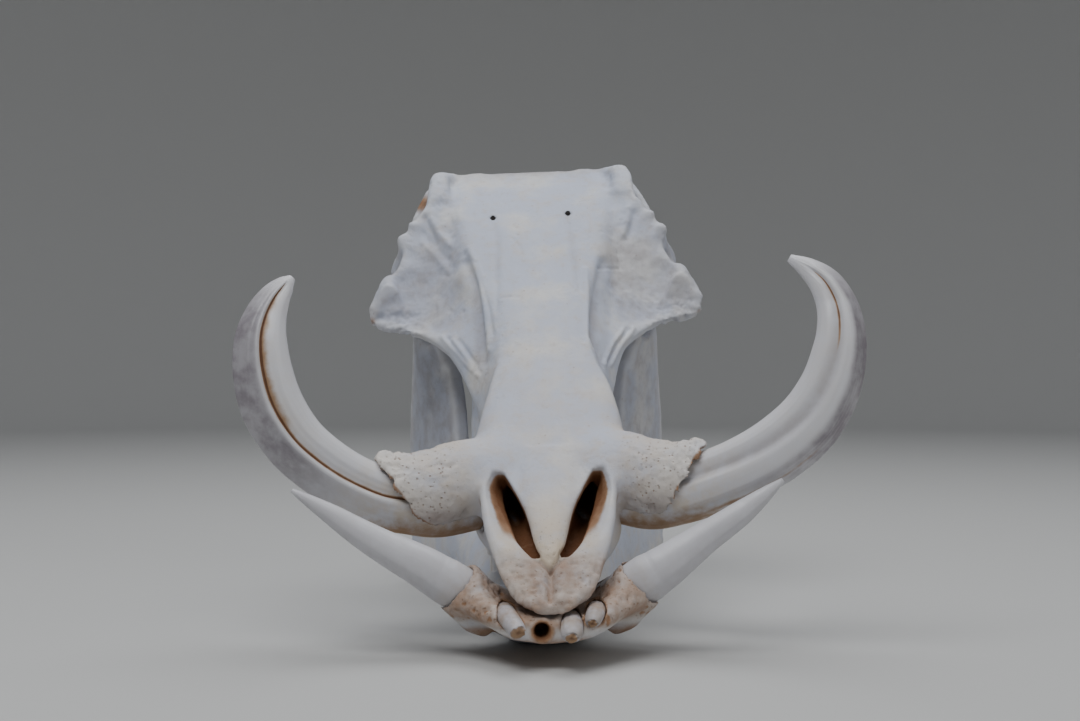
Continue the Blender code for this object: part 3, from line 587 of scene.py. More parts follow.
    "squeezeFrom": (0.150, 0.240),
    "squeezeBy": (0.95, 0.965),
    "browHoles": [(-26.3, 237.0, 259.1), (24.9, 238.4, 260.4)],     # small round holes in the forehead
}


def swayed(points, spec, amount=1.0):
    # x moves aside by a curve of y, fading toward the tusk sleeves and the teeth
    x, y, z = points.T
    middle = 1 - ramp(np.abs(x), 38, 64)
    above = np.maximum(ramp(100 - y, 0, 20), ramp(z - 26 - 0.27 * y, 12, 40))
    moved = points.copy()
    moved[:, 0] += amount * np.interp(y, spec["swayAt"], spec["swayBy"]) * middle * above
    return moved


def noseSlot(rows, count=40):
    # eight-cornered rings: over the bone, down the muzzle wall, into the slit and up the nasal edge
    nasal, slit, rim, y, z, wall, deep = curveThrough(rows, count).T
    into = np.array((0.0, 0.68, -0.73))
    above = np.full(count, -10.0)

    def corner(x, depth):
        return np.stack([x, y, z], 1) + depth[:, None] * into

    rings = np.stack([
        corner(nasal, above), corner(rim + 1, above), corner(rim, above + 10.3),
        corner(0.45 * rim + 0.55 * slit, 0.62 * wall), corner(slit + 0.6, wall), corner(slit - 1, deep),
        corner(nasal - 2.5, deep), corner(nasal - 0.6, 0.3 * wall + 2.2)], 1)
    return shellOf(rings)


def carved(clay, spec, bend, carve):
    # the clay's surface smoothed, bent, moved along its normals and thinned, and the share of bone
    # round each point, read where the point was before the bend
    points, quads = clay.surface()
    points = bend(relax(points, quads, 2), 1.0)
    normals = normalsOf(points, quads)
    points = points + normals * carve(points, normals, spec)[:, None]
    hollow = clay.hollowness(spec["dentReach"])
    points, tris = thinnedMesh(points, quads, spec["triangles"])
    return points, tris, clay.sample(hollow, bend(points, -1.0))


def makeCranium(spec, sockets):
    # trunk, cheek plates and bars joined in clay, the ragged rims trimmed and the openings cut
    soft = spec["soft"]
    clay = Clay(spec["low"], spec["high"], spec["cell"])
    clay.add(trunkShell(spec["trunk"]), soft["trunk"])
    clay.add(tubeShell(spec["nasalTip"]), soft["nasalTip"])
    cheek = plateShell(spec["cheek"], spec["cheekThick"], (0, 1, -0.35))
    for shell in (cheek, flipped(cheek)):
        clay.add(shell, soft["cheek"])
    for path in spec["bars"].values():
        bar = tubeShell(path)
        clay.add(bar, soft["bars"])
        clay.add(flipped(bar), soft["bars"])
    clay.soften(1)
    clay.trim(spec["rimLeft"], spec["rimRight"], spec["relief"]["rim"])
    for cutter in (noseSlot(spec["slot"]), tubeShell(spec["nostril"]), tubeShell(spec["earHole"])):
        clay.cut(cutter, soft["nose"])
        clay.cut(flipped(cutter), soft["nose"])
    clay.cut(tubeShell(spec["throat"]), soft["throat"])
    clay.cut(tubeShell(spec["neckHole"]), soft["throat"])
    for socket in sockets:
        clay.cut(socket, soft["sockets"])
    report("cranium joined")
    points, tris, share = carved(clay, spec, lambda p, amount: swayed(p, spec, amount), carving)
    standing = onCranium(points)
    edge = spec["squeezeFrom"]
    past = np.maximum(standing[:, 1:] - edge, 0)
    standing[:, 1:] = np.minimum(standing[:, 1:], edge) + past * spec["squeezeBy"]
    piece = makePiece("craniumBone", standing, tris, craniumMasks(points, share, spec))
    return finished(piece, bone, "cranium")


def carving(points, normals, spec):
    # sum of bell-shaped furrows, ridges and knobs, and of noise where the bone is rough
    x, y, z = points.T
    side = np.abs(x)
    relief, pits = spec["relief"], spec["pits"]
    front = ramp(-normals[:, 1], -0.1, 0.35)
    move = np.zeros(len(points))
    for width, height, path in spec["creases"]:
        move += front * height * np.exp(-(seenFrom(points, path) / width) ** 2)
    for radius, height, centre in spec["knobs"]:
        move += height * np.exp(-(np.linalg.norm(points - centre, axis=1) / radius) ** 2)
    sleeve = ramp(side, 40, 52) * ramp(y, 118, 96) * ramp(z, 125, 115)
    wingEdge = ramp(side, 66, 92) * ramp(z, 202, 192) * ramp(y, 236, 226)
    wing = ramp(side, 38, 56) * ramp(y, 190, 205) * front
    tipBone = ramp(y, 34, 20) * front
    back = ramp(y, 285, 300) * ramp(z, 292, 280)
    move += raised(points, relief["broad"])
    move += raised(points, relief["fine"])
    move += sleeve * (raised(points, relief["sleeve"]) - pitted(points, pits["sleeve"]))
    move += wingEdge * raised(points, relief["wingEdge"])
    move += wing * (raised(points, relief["wing"]) + raised(points, relief["wingFine"]))
    move += tipBone * (raised(points, relief["tip"]) - pitted(points, pits["tip"]))
    # hairlines: where noise drawn out along the skull passes through zero, in patches
    hair = ramp(np.abs(cloudy(points * (1, 0.35, 0.35), 2.4, 81, 2)), 0.12, 0.0)
    move -= front * spec["hairline"] * hair * ramp(y, 30, 60) * ramp(cloudy(points, 18, 87, 2), 0.0, 0.3)
    move += back * raised(points, relief["back"])
    return move


def craniumMasks(points, share, spec):
    # soft tubes and balls, and steps in x, y, z and in the share of bone, added or the largest taken
    x, y, z = points.T
    side = np.abs(x)
    slit = swayed(np.array(spec["slitMiddle"], float), spec)
    other = slit * (-1, 1, 1) + (2 * spec["slitBend"], 0, 0)
    nose = np.maximum(ramp(farFrom(points, slit), 19, 13), ramp(farFrom(points, other), 19, 13))
    depth = (y - 47) * 0.68 - (z - 78.5) * 0.73 + 0.10 * (z - 78)       # behind the nose openings' plane
    channel = np.zeros(len(points))
    root = np.zeros(len(points))
    rim = np.zeros(len(points))
    for word, sign in sides:
        path = swayed(np.array(spec["nostril"])[2:, :3] * (sign, 1, 1), spec)
        channel = np.maximum(channel, ramp(farFrom(points, path), 14, 11) * ramp(y, 50, 58))
        height, limit = np.array(spec["rim" + word.title()], float).T
        beside = side - np.interp(z, height, limit)
        rim = np.maximum(rim, ramp(beside, -2.6, -0.6) * ramp(y, 122, 108) * (x * sign > 48) * (z < 108))
        axis = np.array(upperTusks[word])[:6, :3] * (sign, 1, 1)
        inside = ramp(farFrom(points, axis), 20.6, 19.0) * ramp(share, 0.40, 0.52)
        root = np.maximum(root, inside * ramp(side, 55, 62))
    centre, radii = spec["eyeSocket"]
    eye = np.maximum(near(points, centre, radii), near(points * (-1, 1, 1), centre, radii))
    # the small brow holes, painted black as painted shade
    hole = np.zeros(len(points))
    for centre in spec["browHoles"]:
        away = np.linalg.norm((points - centre)[:, (0, 2)], axis=1)
        hole = np.maximum(hole, ramp(away, 2.6, 1.5) * (y < 250))
    tipX, tipZ, slope = spec["tipBelow"]
    belowTip = tipZ + slope * np.abs(x - tipX) - z
    muzzle = ramp(y, 60, 22) * ramp(side, 40, 20)
    wing = ramp(side, 34, 62) * ramp(y, 185, 205) * ramp(z, 272, 225)
    at = {
        "noseWall": nose * ramp(depth, 1.0, 4.5) * ramp(z, 56, 76),
        "noseSlit": nose * ramp(depth, 2.2, 8),
        "channel": channel,
        "blotch": ramp(y, 32, 14) * ramp(cloudy(points, 7, 91, 3), -0.15, 0.5),
        "root": root,
        # the eye socket's inner wall, browned by stain and by painted shadow
        "eye": eye * ramp(share, 0.42, 0.6),
        # the tusk sleeves' undersides, greyed and slightly browned as painted shade
        "under": ramp(z, 96, 74) * ramp(side, 38, 50) * ramp(y, 118, 100),
        "wingTip": np.maximum.reduce([near(points, middle, size) for middle, size in spec["wingTips"]]),
        "valley": ramp(share, 0.5, 0.72) * ramp(y, 160, 60),
        # the corner behind the brow, browned by stain and by painted shadow
        "corner": near(points, *spec["brownCorner"]),
        "rim": rim,
        # the premaxilla just below the nasal point, greyed and browned as painted shadow
        "lip": ramp(y, 42, 30) * ramp(belowTip, -1.0, 3.0) * ramp(z, 65, 51),
        # the wings' lower parts and the back, greyed as painted shade
        "wingAndBack": np.clip(0.75 * wing + ramp(y, 270, 300), 0, 1),
        # hollows behind the muzzle's front, greyed as painted shade
        "hollow": ramp(share, 0.49, 0.62) * ramp(y, 110, 160),
    }
    warm = (0.85 * muzzle + 0.6 * at["under"] + 0.38 * ramp(side, 34, 50) * ramp(y, 125, 100)
            + 0.22 * ramp(y, 190, 90) + 0.35 * ramp(y, 285, 310))
    pore = (ramp(side, 40, 55) * ramp(y, 118, 98) + 0.6 * at["wingTip"] + 0.5 * muzzle
            + 0.5 * ramp(y, 285, 300))
    return {"stain": strongest(at, spec["stains"]), "grey": strongest(at, spec["greys"]),
            "warm": np.clip(warm, 0, 1), "pore": np.clip(pore, 0, 1),
            "dark": np.maximum(hole, at["wingTip"] * 0.5), "edge": ramp(share, 0.4, 0.25)}


# Tusks

upperTusks = {
    "around": 144,
    "along": 330,
    # centre line and radius, root to tip
    "left": [(40, 90, 82, 16.5), (60, 79, 78.5, 17.4), (76, 73, 81.5, 18), (92, 68, 86.5, 18.4),
             (112, 62, 94.5, 18.4), (131, 57, 105, 18.6), (148.5, 53, 120, 18.2), (160, 51, 138, 16.9),
             (166.2, 51, 157, 15.2), (168, 53, 172, 13.2), (166.7, 57, 185, 11.3), (161.8, 61, 196.5, 9.2),
             (154, 66, 205, 6.2), (144.5, 70, 211.5, 2.4)],
    "right": [(40, 90, 80, 16.5), (60, 79, 79, 17.4), (76, 73, 82.5, 17.8), (91.5, 68, 87, 17.6),
              (110, 62, 97.5, 17.2), (125.8, 57, 110.3, 17.2), (137.5, 54, 123.4, 17.4),
              (147, 52, 141.4, 17.6), (151.4, 52, 160, 16.6), (152.3, 54, 177, 14.8), (150, 58, 190, 12.2),
              (145.5, 62, 200.5, 9.3), (140.2, 66, 208, 6), (136, 69, 212.5, 2.2)],
    "flat": 0.82,               # depth of the section for its width
    "slim": 0.985,              # share of the rows' radii, which leaves room inside the part's own size
    "ribHeight": 0.011,
    # socket: how many of its sixty rings, which of them is its mouth, and how much wider it is past that
    "socketLeft": (27, 9, 1.9),
    "socketRight": (27, 9, 1.2),
    # each furrow: angle at root and tip, widths toward the inner and outer side, depth, start, end, stain
    "furrowsLeft": [(4.00, 4.72, 0.34, 0.20, 0.19, 0.0, 0.95, 0.30),
                    (4.55, 5.12, 0.05, 0.05, 0.025, 0.45, 0.97, 0.06),
                    (4.25, 4.98, 0.04, 0.05, 0.02, 0.5, 0.98, 0.10)],
    "furrowsRight": [(4.44, 4.62, 0.42, 0.075, 0.27, 0.0, 0.96, 1.0),
                     (5.05, 5.0, 0.05, 0.05, 0.014, 0.55, 0.9, 0.05),
                     (4.80, 4.98, 0.05, 0.05, 0.016, 0.6, 0.96, 0.12)],
    # worn face on the outer side: its angle and how far from the axis
    "faceLeft": (5.72, 0.86),
    "faceRight": (5.36, 0.80),
}
lowerTusks = {
    "around": 72,
    "along": 170,
    # centre line and radius, root to tip
    "left": [(21, 60, 16, 10.5), (36.5, 46.5, 28.5, 12.4), (51.4, 39, 39.9, 13.2), (58.5, 37.5, 44.6, 12.4),
             (66.3, 37, 49.8, 11.4), (84.8, 37, 62.7, 8.8), (95, 37.5, 69.2, 7.8), (106, 38.5, 76.4, 6.6),
             (119, 39.5, 86, 4.0), (128, 40, 93, 1.3)],
    "right": [(21, 60, 16, 10), (37, 46.5, 28.5, 12), (52.7, 39, 39.6, 12.6), (61, 37.5, 45, 12),
              (69.6, 37, 50.5, 11.2), (90, 37.5, 61.6, 9.0), (104, 38.5, 70, 7.4), (117, 39.5, 78.6, 5.6),
              (131, 40.5, 87.4, 3.0), (138.5, 41, 92, 1.2)],
    "flat": 0.82,
    "face": (5.5, 0.90),
    "ribHeight": 0.007,
    "ringHeight": 0.005,
    "socketLeft": (33, 16, 0.5),
    "socketRight": (33, 16, 0.5),
}


def tuskRings(path, side, around, along, grow=0.0, flat=0.82, shape=None):
    # centre - across * r cos(a) + back * r sin(a) * flat, square to the path; r(a, s) may be shaped
    fine = curveThrough(path, along)
    centre = fine[:, :3]
    t = unit(np.gradient(centre, axis=0))
    back = unit(np.array((0.0, 1.0, 0.0)) - t * t[:, 1:2])
    across = np.cross(t, back)
    a = np.linspace(0, 2 * np.pi, around, endpoint=False)[None]
    s = np.linspace(0, 1, along)[:, None]
    r = fine[:, 3:4] + grow
    if shape is not None:
        r = r * shape(a, s)
    rings = (centre[:, None] - across[:, None] * (r * np.cos(a))[..., None]
             + back[:, None] * (r * np.sin(a) * flat)[..., None])
    return rings * (side, 1, 1), a, s


def bell(a, middle, inner, outer=None):
    # 1 at an angle, falling off to both sides, each with its own width
    d = (a - middle + np.pi) % (2 * np.pi) - np.pi
    width = inner if outer is None else np.where(d < 0, inner, outer)
    return np.exp(-(d / width) ** 2)


def furrow(a, s, row):
    # a bell whose angle goes from root to tip, with eased ends
    root, tip, inner, outer, _, start, end, _ = row
    along = ramp(s, start - 0.001, start + 0.05 + 0.3 * start) * ramp(s, end, end - 0.07)
    return bell(a, root + (tip - root) * s, inner, outer) * along


def ribbed(a, s, around, along, seed):
    # cloudy noise wrapped round a tooth, quick round it and slow along it, so that it runs in ribs
    ribs = np.stack(np.broadcast_arrays(around * np.cos(a), around * np.sin(a), along * s), -1)
    return cloudy(ribs.reshape(-1, 3), 1.0, seed, 3).reshape(ribs.shape[:2])


def overShell(masks, rings):
    # each mask over the points of all rings, and the first and last ring's mean at the two end points
    out = {}
    for key, value in masks.items():
        full = np.broadcast_to(value, rings.shape[:2])
        out[key] = np.concatenate([full.ravel(), [full[0].mean(), full[-1].mean()]])
    return out


def toothPiece(name, rings, masks, place, turnRound=False):
    # a closed shell over the rings, its faces turned round where the rings run the other way
    points, quads, tris = shellOf(rings)
    if turnRound:
        quads, tris = quads[:, ::-1], tris[:, ::-1]
    return makePiece(name, place(points), quads.tolist() + tris.tolist(), masks)


def makeUpperTusk(word, side, spec):
    rows = spec["furrows" + word.title()]
    faceAt, faceFar = spec["face" + word.title()]
    left = side > 0

    def shape(a, s):
        # oval with a flat worn face on the outer side, sunk by the furrows, and fine lengthwise ribs
        face = faceFar / np.maximum(np.cos(a - faceAt), 0.3)
        worn = ramp(s, 0.10, 0.35) * ramp(s, 1.0, 0.85)
        r = 1 - worn * 0.85 * (1 - np.minimum(1.0, face))
        for row in rows:
            r = r - row[4] * furrow(a, s, row)
        return spec["slim"] * r + spec["ribHeight"] * ribbed(a, s, 9, 2.2, 70 + side)

    rings, a, s = tuskRings(spec[word], side, spec["around"], spec["along"], 0.0, spec["flat"], shape)
    first, second, third = rows
    middle = first[0] + (first[1] - first[0]) * s
    # the deep furrow's dark bottom, the brown bank on its inner side and the two hair lines
    line = first[7] * bell(a, middle + 0.01, 0.075, 0.04) * ramp(s, 0.96, 0.88)
    if left:
        line = line * (0.25 + 3.0 * ramp(s, 0.60, 0.70) * ramp(s, 0.93, 0.84))
    bank = first[7] * bell(a, middle - 0.03, 0.36, 0.04)
    bank = bank * ramp(s, 0.0, 0.05) * (0.35 + 0.65 * ramp(s, 0.40, 0.55)) * ramp(s, 0.93, 0.80)
    thin = np.maximum(second[7] * furrow(a, s, second), third[7] * furrow(a, s, third))
    # the worn face, which faces down and out, in violet grey painted shade, and the left tusk's broad
    # furrow greyed as painted shade; the brown root end and its underside, and a rubbed spot on the left
    # tusk
    away = np.abs((a - faceAt - 0.12 + np.pi) % (2 * np.pi) - np.pi)
    worn = ramp(away, 0.95, 0.60) * ramp(s, 0.99, 0.72) * (0.10 + 0.90 * ramp(s, 0.26, 0.46))
    rootEnd = ramp(s, 0.36, 0.16)
    below = rootEnd * bell(a, 5.9, 0.9)
    rubbed = 0.42 * bell(a, 5.62, 0.14) * ramp(s, 0.20, 0.30) * ramp(s, 0.52, 0.40) * left
    masks = {"stain": np.clip(line + thin + 0.56 * bank + 0.60 * below + rubbed, 0, 1),
             "shade": np.maximum(worn, 0.45 * furrow(a, s, first) * left),
             "warm": np.clip(0.12 + 0.6 * rootEnd + 0.5 * bank + 0.4 * below, 0, 1),
             "tip": ramp(s, 0.93, 1.0)}
    piece = toothPiece("upperTusk" + word.title(), rings, overShell(masks, rings), onCranium, not left)
    return finished(piece, ivory, "upper_tusk_" + word)


def makeLowerTusk(word, side, spec):
    faceAt, faceFar = spec["face"]

    def shape(a, s):
        # oval, slightly flattened on the worn upper face, with faint growth rings and ribs
        face = faceFar / np.maximum(np.cos(a - faceAt), 0.3)
        r = np.minimum(1.0, face) * 0.6 + 0.4
        growth = speckle(np.stack([60 * s.ravel(), 0 * s.ravel(), 0 * s.ravel()], 1), 1.0, 85)
        ribs = ribbed(a, s, 7, 1.6, 80 + side)
        return r + spec["ribHeight"] * ribs + spec["ringHeight"] * growth.reshape(s.shape)

    rings, a, s = tuskRings(spec[word], side, spec["around"], spec["along"], 0.0, spec["flat"], shape)
    rootEnd = ramp(s, 0.31, 0.24)
    # violet grey over the whole tusk as its tone, and more on its outer underside as painted shade
    masks = {"stain": 0.18 * rootEnd, "shade": 0.22 + 0.25 * bell(a, 0.2, 1.2),
             "warm": 0.3 * rootEnd + 0.05, "tip": ramp(s, 0.9, 1.0)}
    piece = toothPiece("lowerTusk" + word.title(), rings, overShell(masks, rings), onJaw, side < 0)
    return finished(piece, ivory, "lower_tusk_" + word)


def socketShell(spec, word, side, rings=60):
    # the tusk's own first rings, a little bigger, and wider still past the mouth
    count, mouth, wide = spec["socket" + word.title()]
    i = np.arange(rings)[:, None]
    grow = 0.5 + wide * ramp(i, mouth - 3, mouth + 1)
    return shellOf(tuskRings(spec[word], side, 40, rings, grow)[0][:count])


# Front and cheek teeth

frontTeeth = {              # centre line and radius, root to tip
    "lower_incisor_right_2": [(-25, 34, 26.5, 5), (-23.8, 12, 27.8, 5.5), (-19.5, -4, 24.3, 5),
                              (-17.5, -9, 21.5, 4.2)],
    "lower_incisor_left_1": [(11, 30, 22.5, 5), (10.5, 8, 23.6, 5.7), (9.5, -7, 20.8, 5.7),
                             (9, -12, 18.6, 3)],
    "lower_incisor_left_2": [(25, 34, 26.5, 4.6), (23.5, 12, 28.6, 5), (21, -1, 26.4, 4.4),
                             (20, -5, 24.6, 2.4)],
}
cheekTeeth = {
    # node, middle, front, back, half width, lobes
    "upper": [("upper_molar_2", 29.5, 124, 143.6, 7, 3), ("upper_molar_3", 30.5, 145, 199, 8, 9)],
    "lower": [("lower_molar_2", 27.0, 126, 145.6, 6, 3), ("lower_molar_3", 31.5, 147, 203, 6.8, 9)],
    "lowerTurn": 9.0,                   # degrees, the lower rows spread backward
    "bite": (57.0, 170.0, 0.3057),      # height, at this y, and slope of the biting plane
    "gap": 1.5,
    "upperRoot": 24.0,
    "lowerRoot": -26.0,
}


def makeFrontTooth(node, rows):
    # an oval rod along its rows, rippled, its worn end chipped by noise round the edge
    fine = curveThrough([(x, y, z, w, w * 0.85) for x, y, z, w in rows], 60)
    centre = fine[:, :3]
    t = unit(np.gradient(centre, axis=0))
    side = unit(np.cross(t, (0.0, 0.0, 1.0)))
    up = np.cross(side, t)
    a = np.linspace(0, 2 * np.pi, 48, endpoint=False)[None]
    s = np.linspace(0, 1, 60)[:, None]
    wobble = 1 + 0.035 * ribbed(a, s, 5, 2, len(node))
    rings = (centre[:, None] + side[:, None] * (np.cos(a) * fine[:, 3:4] * wobble)[..., None]
             + up[:, None] * (np.sin(a) * fine[:, 4:5] * wobble)[..., None])
    edge = speckle(np.concatenate([2 * np.cos(a), 2 * np.sin(a), 0 * a]).T, 1.0, 7)[None]
    chip = ramp(s, 0.86, 1.0) * (0.8 + 0.9 * edge)
    rings = rings - t[:, None] * (chip * 1.3)[..., None]
    end = ramp(s, 0.965, 1.0)
    masks = overShell({"stain": np.clip(0.17 + 0.34 * end + 0.2 * ramp(s, 0.66, 0.48), 0, 1),
                       "shade": 0.65, "warm": 1.0 - 0.3 * end, "tip": 0.0}, rings)
    masks["stain"][-1] = 0.9    # the middle of the worn end
    piece = toothPiece(node.replace("_", "") + "Tooth", rings, masks, onJaw, True)
    return finished(piece, ivory, node)


def makeMolar(node, middle, front, back, half, lobes, crown, root, turn, place, spec):
    # a long rounded block, |cos| ^ 0.7 by |sin| ^ 0.7, its sides fluted into lobes, ends on the bite
    around, levels, capRings = 132, 26, 6
    a = np.linspace(0, 2 * np.pi, around, endpoint=False)[None]
    f = np.linspace(0, 1, levels)[:, None]
    length = (back - front) / 2
    v = np.sign(np.sin(a)) * np.abs(np.sin(a)) ** 0.7 * length + 0 * f
    flute = 1 - 0.12 * (0.5 + 0.5 * np.cos((v / length + 1) * np.pi * lobes)) ** 3
    u = np.sign(np.cos(a)) * np.abs(np.cos(a)) ** 0.7 * half * flute * (0.93 + 0.07 * np.sin(np.pi * f))
    spin = math.radians(turn)
    x = middle + u * math.cos(spin) + v * math.sin(spin)
    y = (front + back) / 2 - u * math.sin(spin) + v * math.cos(spin)
    high, at, slope = spec["bite"]
    rise = crown + (root - crown) * f
    sheath = np.stack([x, y, high + slope * (y - at) + rise], -1)
    # the biting end closes in rings toward its middle, raised by half a millimetre at each lobe
    heart = sheath[:1].mean(1, keepdims=True)
    inward = np.linspace(0, 1, capRings + 2)[-2:0:-1]
    cap = np.concatenate([sheath[:1] * (1 - k) + heart * k for k in inward])
    islands = 0.5 + 0.5 * np.cos((cap[..., 1] - front) / (back - front) * 2 * np.pi * lobes)
    cap[..., 2] += math.copysign(0.5, crown) * islands
    rings = np.concatenate([cap, sheath])
    worn = np.concatenate([np.ones(len(cap)), ramp(f.ravel(), 0.06, 0.0)])[:, None]
    deep = np.concatenate([0.5 * islands, 0 * v + 0.25 * ramp(f, 0.2, 0.6)])
    masks = {"stain": deep, "shade": 0.2, "warm": 0.6 + 0.3 * worn, "tip": 0.0}
    piece = toothPiece(node.replace("_", "") + "Tooth", rings, overShell(masks, rings), place, crown < 0)
    return finished(piece, ivory, node)


# Lower jaw

jaw = {
    "cell": 1.2,
    "low": (-105, -8, -12),
    "high": (105, 322, 212),
    "triangles": 150000,
    "dentReach": 7.5,
    "soft": {"chin": 0.5, "branch": 7.0, "bars": 5.5, "emptySocket": 0.8, "sockets": 0.6},
    # half outlines as in the cranium's trunk
    "chin": [
        (1, [(0, 25), (10, 25.5), (19, 26), (22, 22), (15, 16), (0, 14.5)]),
        (8, [(0, 27.5), (16, 28), (28, 31), (33, 25), (22, 16), (0, 13)]),
        (22, [(0, 28), (20, 29.5), (38, 37), (45, 28), (26, 16), (0, 11)]),
        (36, [(0, 28), (22, 30.5), (42, 44), (55, 32), (34, 18), (0, 9)]),
        (52, [(0, 28), (20, 30.5), (38, 40), (46, 28), (29, 13), (0, 5)]),
        (70, [(0, 28), (17, 30.5), (27, 34), (33, 23), (23, 4), (0, 0)]),
        (90, [(0, 26), (13, 29), (22, 33), (27, 19), (19, -1.5), (0, -4)]),
        (106, [(0, 21), (10, 25), (19, 32), (25, 18), (19, 1), (0, 1)]),
        (116, [(0, 15), (8, 16), (16, 20), (20, 16), (16, 7), (0, 9)]),
    ],
    "bars": {
        "body": [(17, 85, 17, 10, 15), (21, 110, 17.5, 10.5, 15.5), (26, 140, 20, 12, 17.5),
                 (32, 170, 26, 13, 20.5), (41, 205, 30, 13, 26), (53, 235, 33, 11, 31.5),
                 (67, 262, 32, 9, 36), (77, 282, 34, 7, 37.5), (81, 292, 40, 5.5, 32)],
        "frontHorn": [(59, 235, 158, 8, 5), (64, 237, 172, 7, 4.5), (68, 241, 183, 4, 3.5),
                      (69, 243, 188, 2, 2)],
        "hinge": [(66, 279, 192, 7, 6), (76, 280, 194, 8.5, 7), (86, 281, 193, 8, 6.5),
                  (92, 281, 191, 5, 4)],
        "tuskSleeve": [(18, 60, 17, 12, 11), (37, 46.5, 28.5, 13.6, 12.4), (49, 38.5, 39, 14.2, 14.2)],
        "lip": [(34, 46, 15, 8, 6), (44, 42, 19, 7, 5), (53, 39, 27, 5.5, 3.2), (60, 37.4, 33, 3.2, 1.2)],
    },
    # the branch's outer face in rows from the bottom up, each from the front back
    "branch": [
        [(45, 212, 40), (58, 240, 20), (70, 268, -2), (80, 288, -1)],
        [(47, 214, 62), (60, 242, 50), (74, 275, 34), (85, 301, 30)],
        [(46, 219, 90), (59, 246, 85), (75, 278, 78), (86, 308, 74)],
        [(46.5, 223, 118), (60, 247, 115), (75, 276, 112), (86, 304, 110)],
        [(49.5, 229, 145), (62.5, 249, 144), (76, 272, 144), (84, 296, 146)],
        [(54.5, 234, 165), (65, 249, 166), (76, 268, 169), (83, 290, 172)],
        [(60, 237, 176), (68, 249, 172), (76, 268, 178), (82, 288, 186)],
    ],
    "branchThick": [9, 10, 10, 9.5, 9, 8.5, 8],
    "emptySocket": [(-5.4, -12, 20.3, 4.4, 4.4), (-5.6, 6, 20.8, 4.2, 4.2), (-6, 20, 21, 3, 3)],
    "creases": [
        (2.4, -1.0, [(-70, 240, 60), (-78, 262, 60), (-88, 285, 62)]),
        (1.2, -0.8, [(16, 6, 27), (17, 14, 29)]),
        (1.4, -0.9, [(-1, 3, 25), (0, 14, 28), (1, 24, 28)]),
    ],
    "knobs": [(2.0, -1.6, (-33, 11, 31)), (1.8, -1.4, (37.4, 17, 33.3)), (1.8, -1.4, (34, 21, 35)),
              (1.7, -1.3, (42, 21, 34)), (2.2, -1.8, (39.5, 19, 32)), (2.5, -2.0, (45, 120, 14)),
              (2.5, -2.0, (-45, 120, 14))],
    "relief": {"broad": (0.4, 20, 105, 3), "fine": (0.10, 5, 109, 2), "spongy": (0.45, 3.6, 121, 2),
               "angle": (0.6, 6, 141, 3)},
    "pits": {"large": (1.0, 2.9, 131, 0.30, 0.7), "small": (0.6, 1.9, 137, 0.35, 0.8)},
    "pitDepth": 0.95,
    "socketAt": (-5.5, 20.6),           # x and z of the empty socket's mouth
    # how much brown each place takes, from real stains and from painted shade, and how much lilac grey,
    # which is painted shade
    "stains": {"root": 0.8, "hole": 0.68, "ringEdge": 0.35, "teeth": 0.45, "pits": 0.5, "under": 0.38,
               "top": 0.30, "deep": 0.10},
    "greys": {"branch": 1.0, "top": 1.0, "under": 1.0},
}


def makeJaw(spec, sockets):
    # chin, branches and bars joined in clay, the sockets cut, and the feet kept above the ground
    soft = spec["soft"]
    clay = Clay(spec["low"], spec["high"], spec["cell"])
    clay.add(trunkShell(spec["chin"], 30, 110), soft["chin"])
    branch = plateShell(spec["branch"], spec["branchThick"], (1, -0.45, 0))
    for shell in (branch, flipped(branch)):
        clay.add(shell, soft["branch"])
    for path in spec["bars"].values():
        bar = tubeShell(path)
        clay.add(bar, soft["bars"])
        clay.add(flipped(bar), soft["bars"])
    clay.soften(1)
    clay.cut(tubeShell(spec["emptySocket"]), soft["emptySocket"])
    for socket in sockets:
        clay.cut(socket, soft["sockets"])
    report("jaw joined")
    points, tris, share = carved(clay, spec, lambda p, amount: p, jawCarving)
    standing = onJaw(points)
    standing[:, 2] = np.maximum(standing[:, 2], 0.0)
    piece = makePiece("jawBone", standing, tris, jawMasks(points, share, spec))
    return finished(piece, bone, "mandible")


def jawCarving(points, normals, spec):
    # furrows and pits, a raised ring round the empty socket, and spongy bone at the front
    x, y, z = points.T
    relief, pits = spec["relief"], spec["pits"]
    move = np.zeros(len(points))
    for width, height, path in spec["creases"]:
        move += height * np.exp(-(farFrom(points, path) / width) ** 2)
    for radius, height, centre in spec["knobs"]:
        move += height * np.exp(-(np.linalg.norm(points - centre, axis=1) / radius) ** 2)
    holeX, holeZ = spec["socketAt"]
    ring = np.hypot(x - holeX, z - holeZ)
    move += 0.7 * np.exp(-((ring - 5.8) / 1.1) ** 2) * ramp(y, 9, 4)
    spongy = ramp(y, 60, 40) * ramp(normals[:, 2] - 0.3 * normals[:, 1], -0.2, 0.3) * ramp(z, 16, 22)
    sunk = spec["pitDepth"] * (pitted(points, pits["large"]) + pitted(points, pits["small"]))
    move += raised(points, relief["broad"]) + raised(points, relief["fine"])
    move += spongy * (raised(points, relief["spongy"]) - sunk * ramp(np.abs(x), 12, 26))
    move += ramp(y, 262, 285) * ramp(z, 120, 40) * raised(points, relief["angle"])
    return move


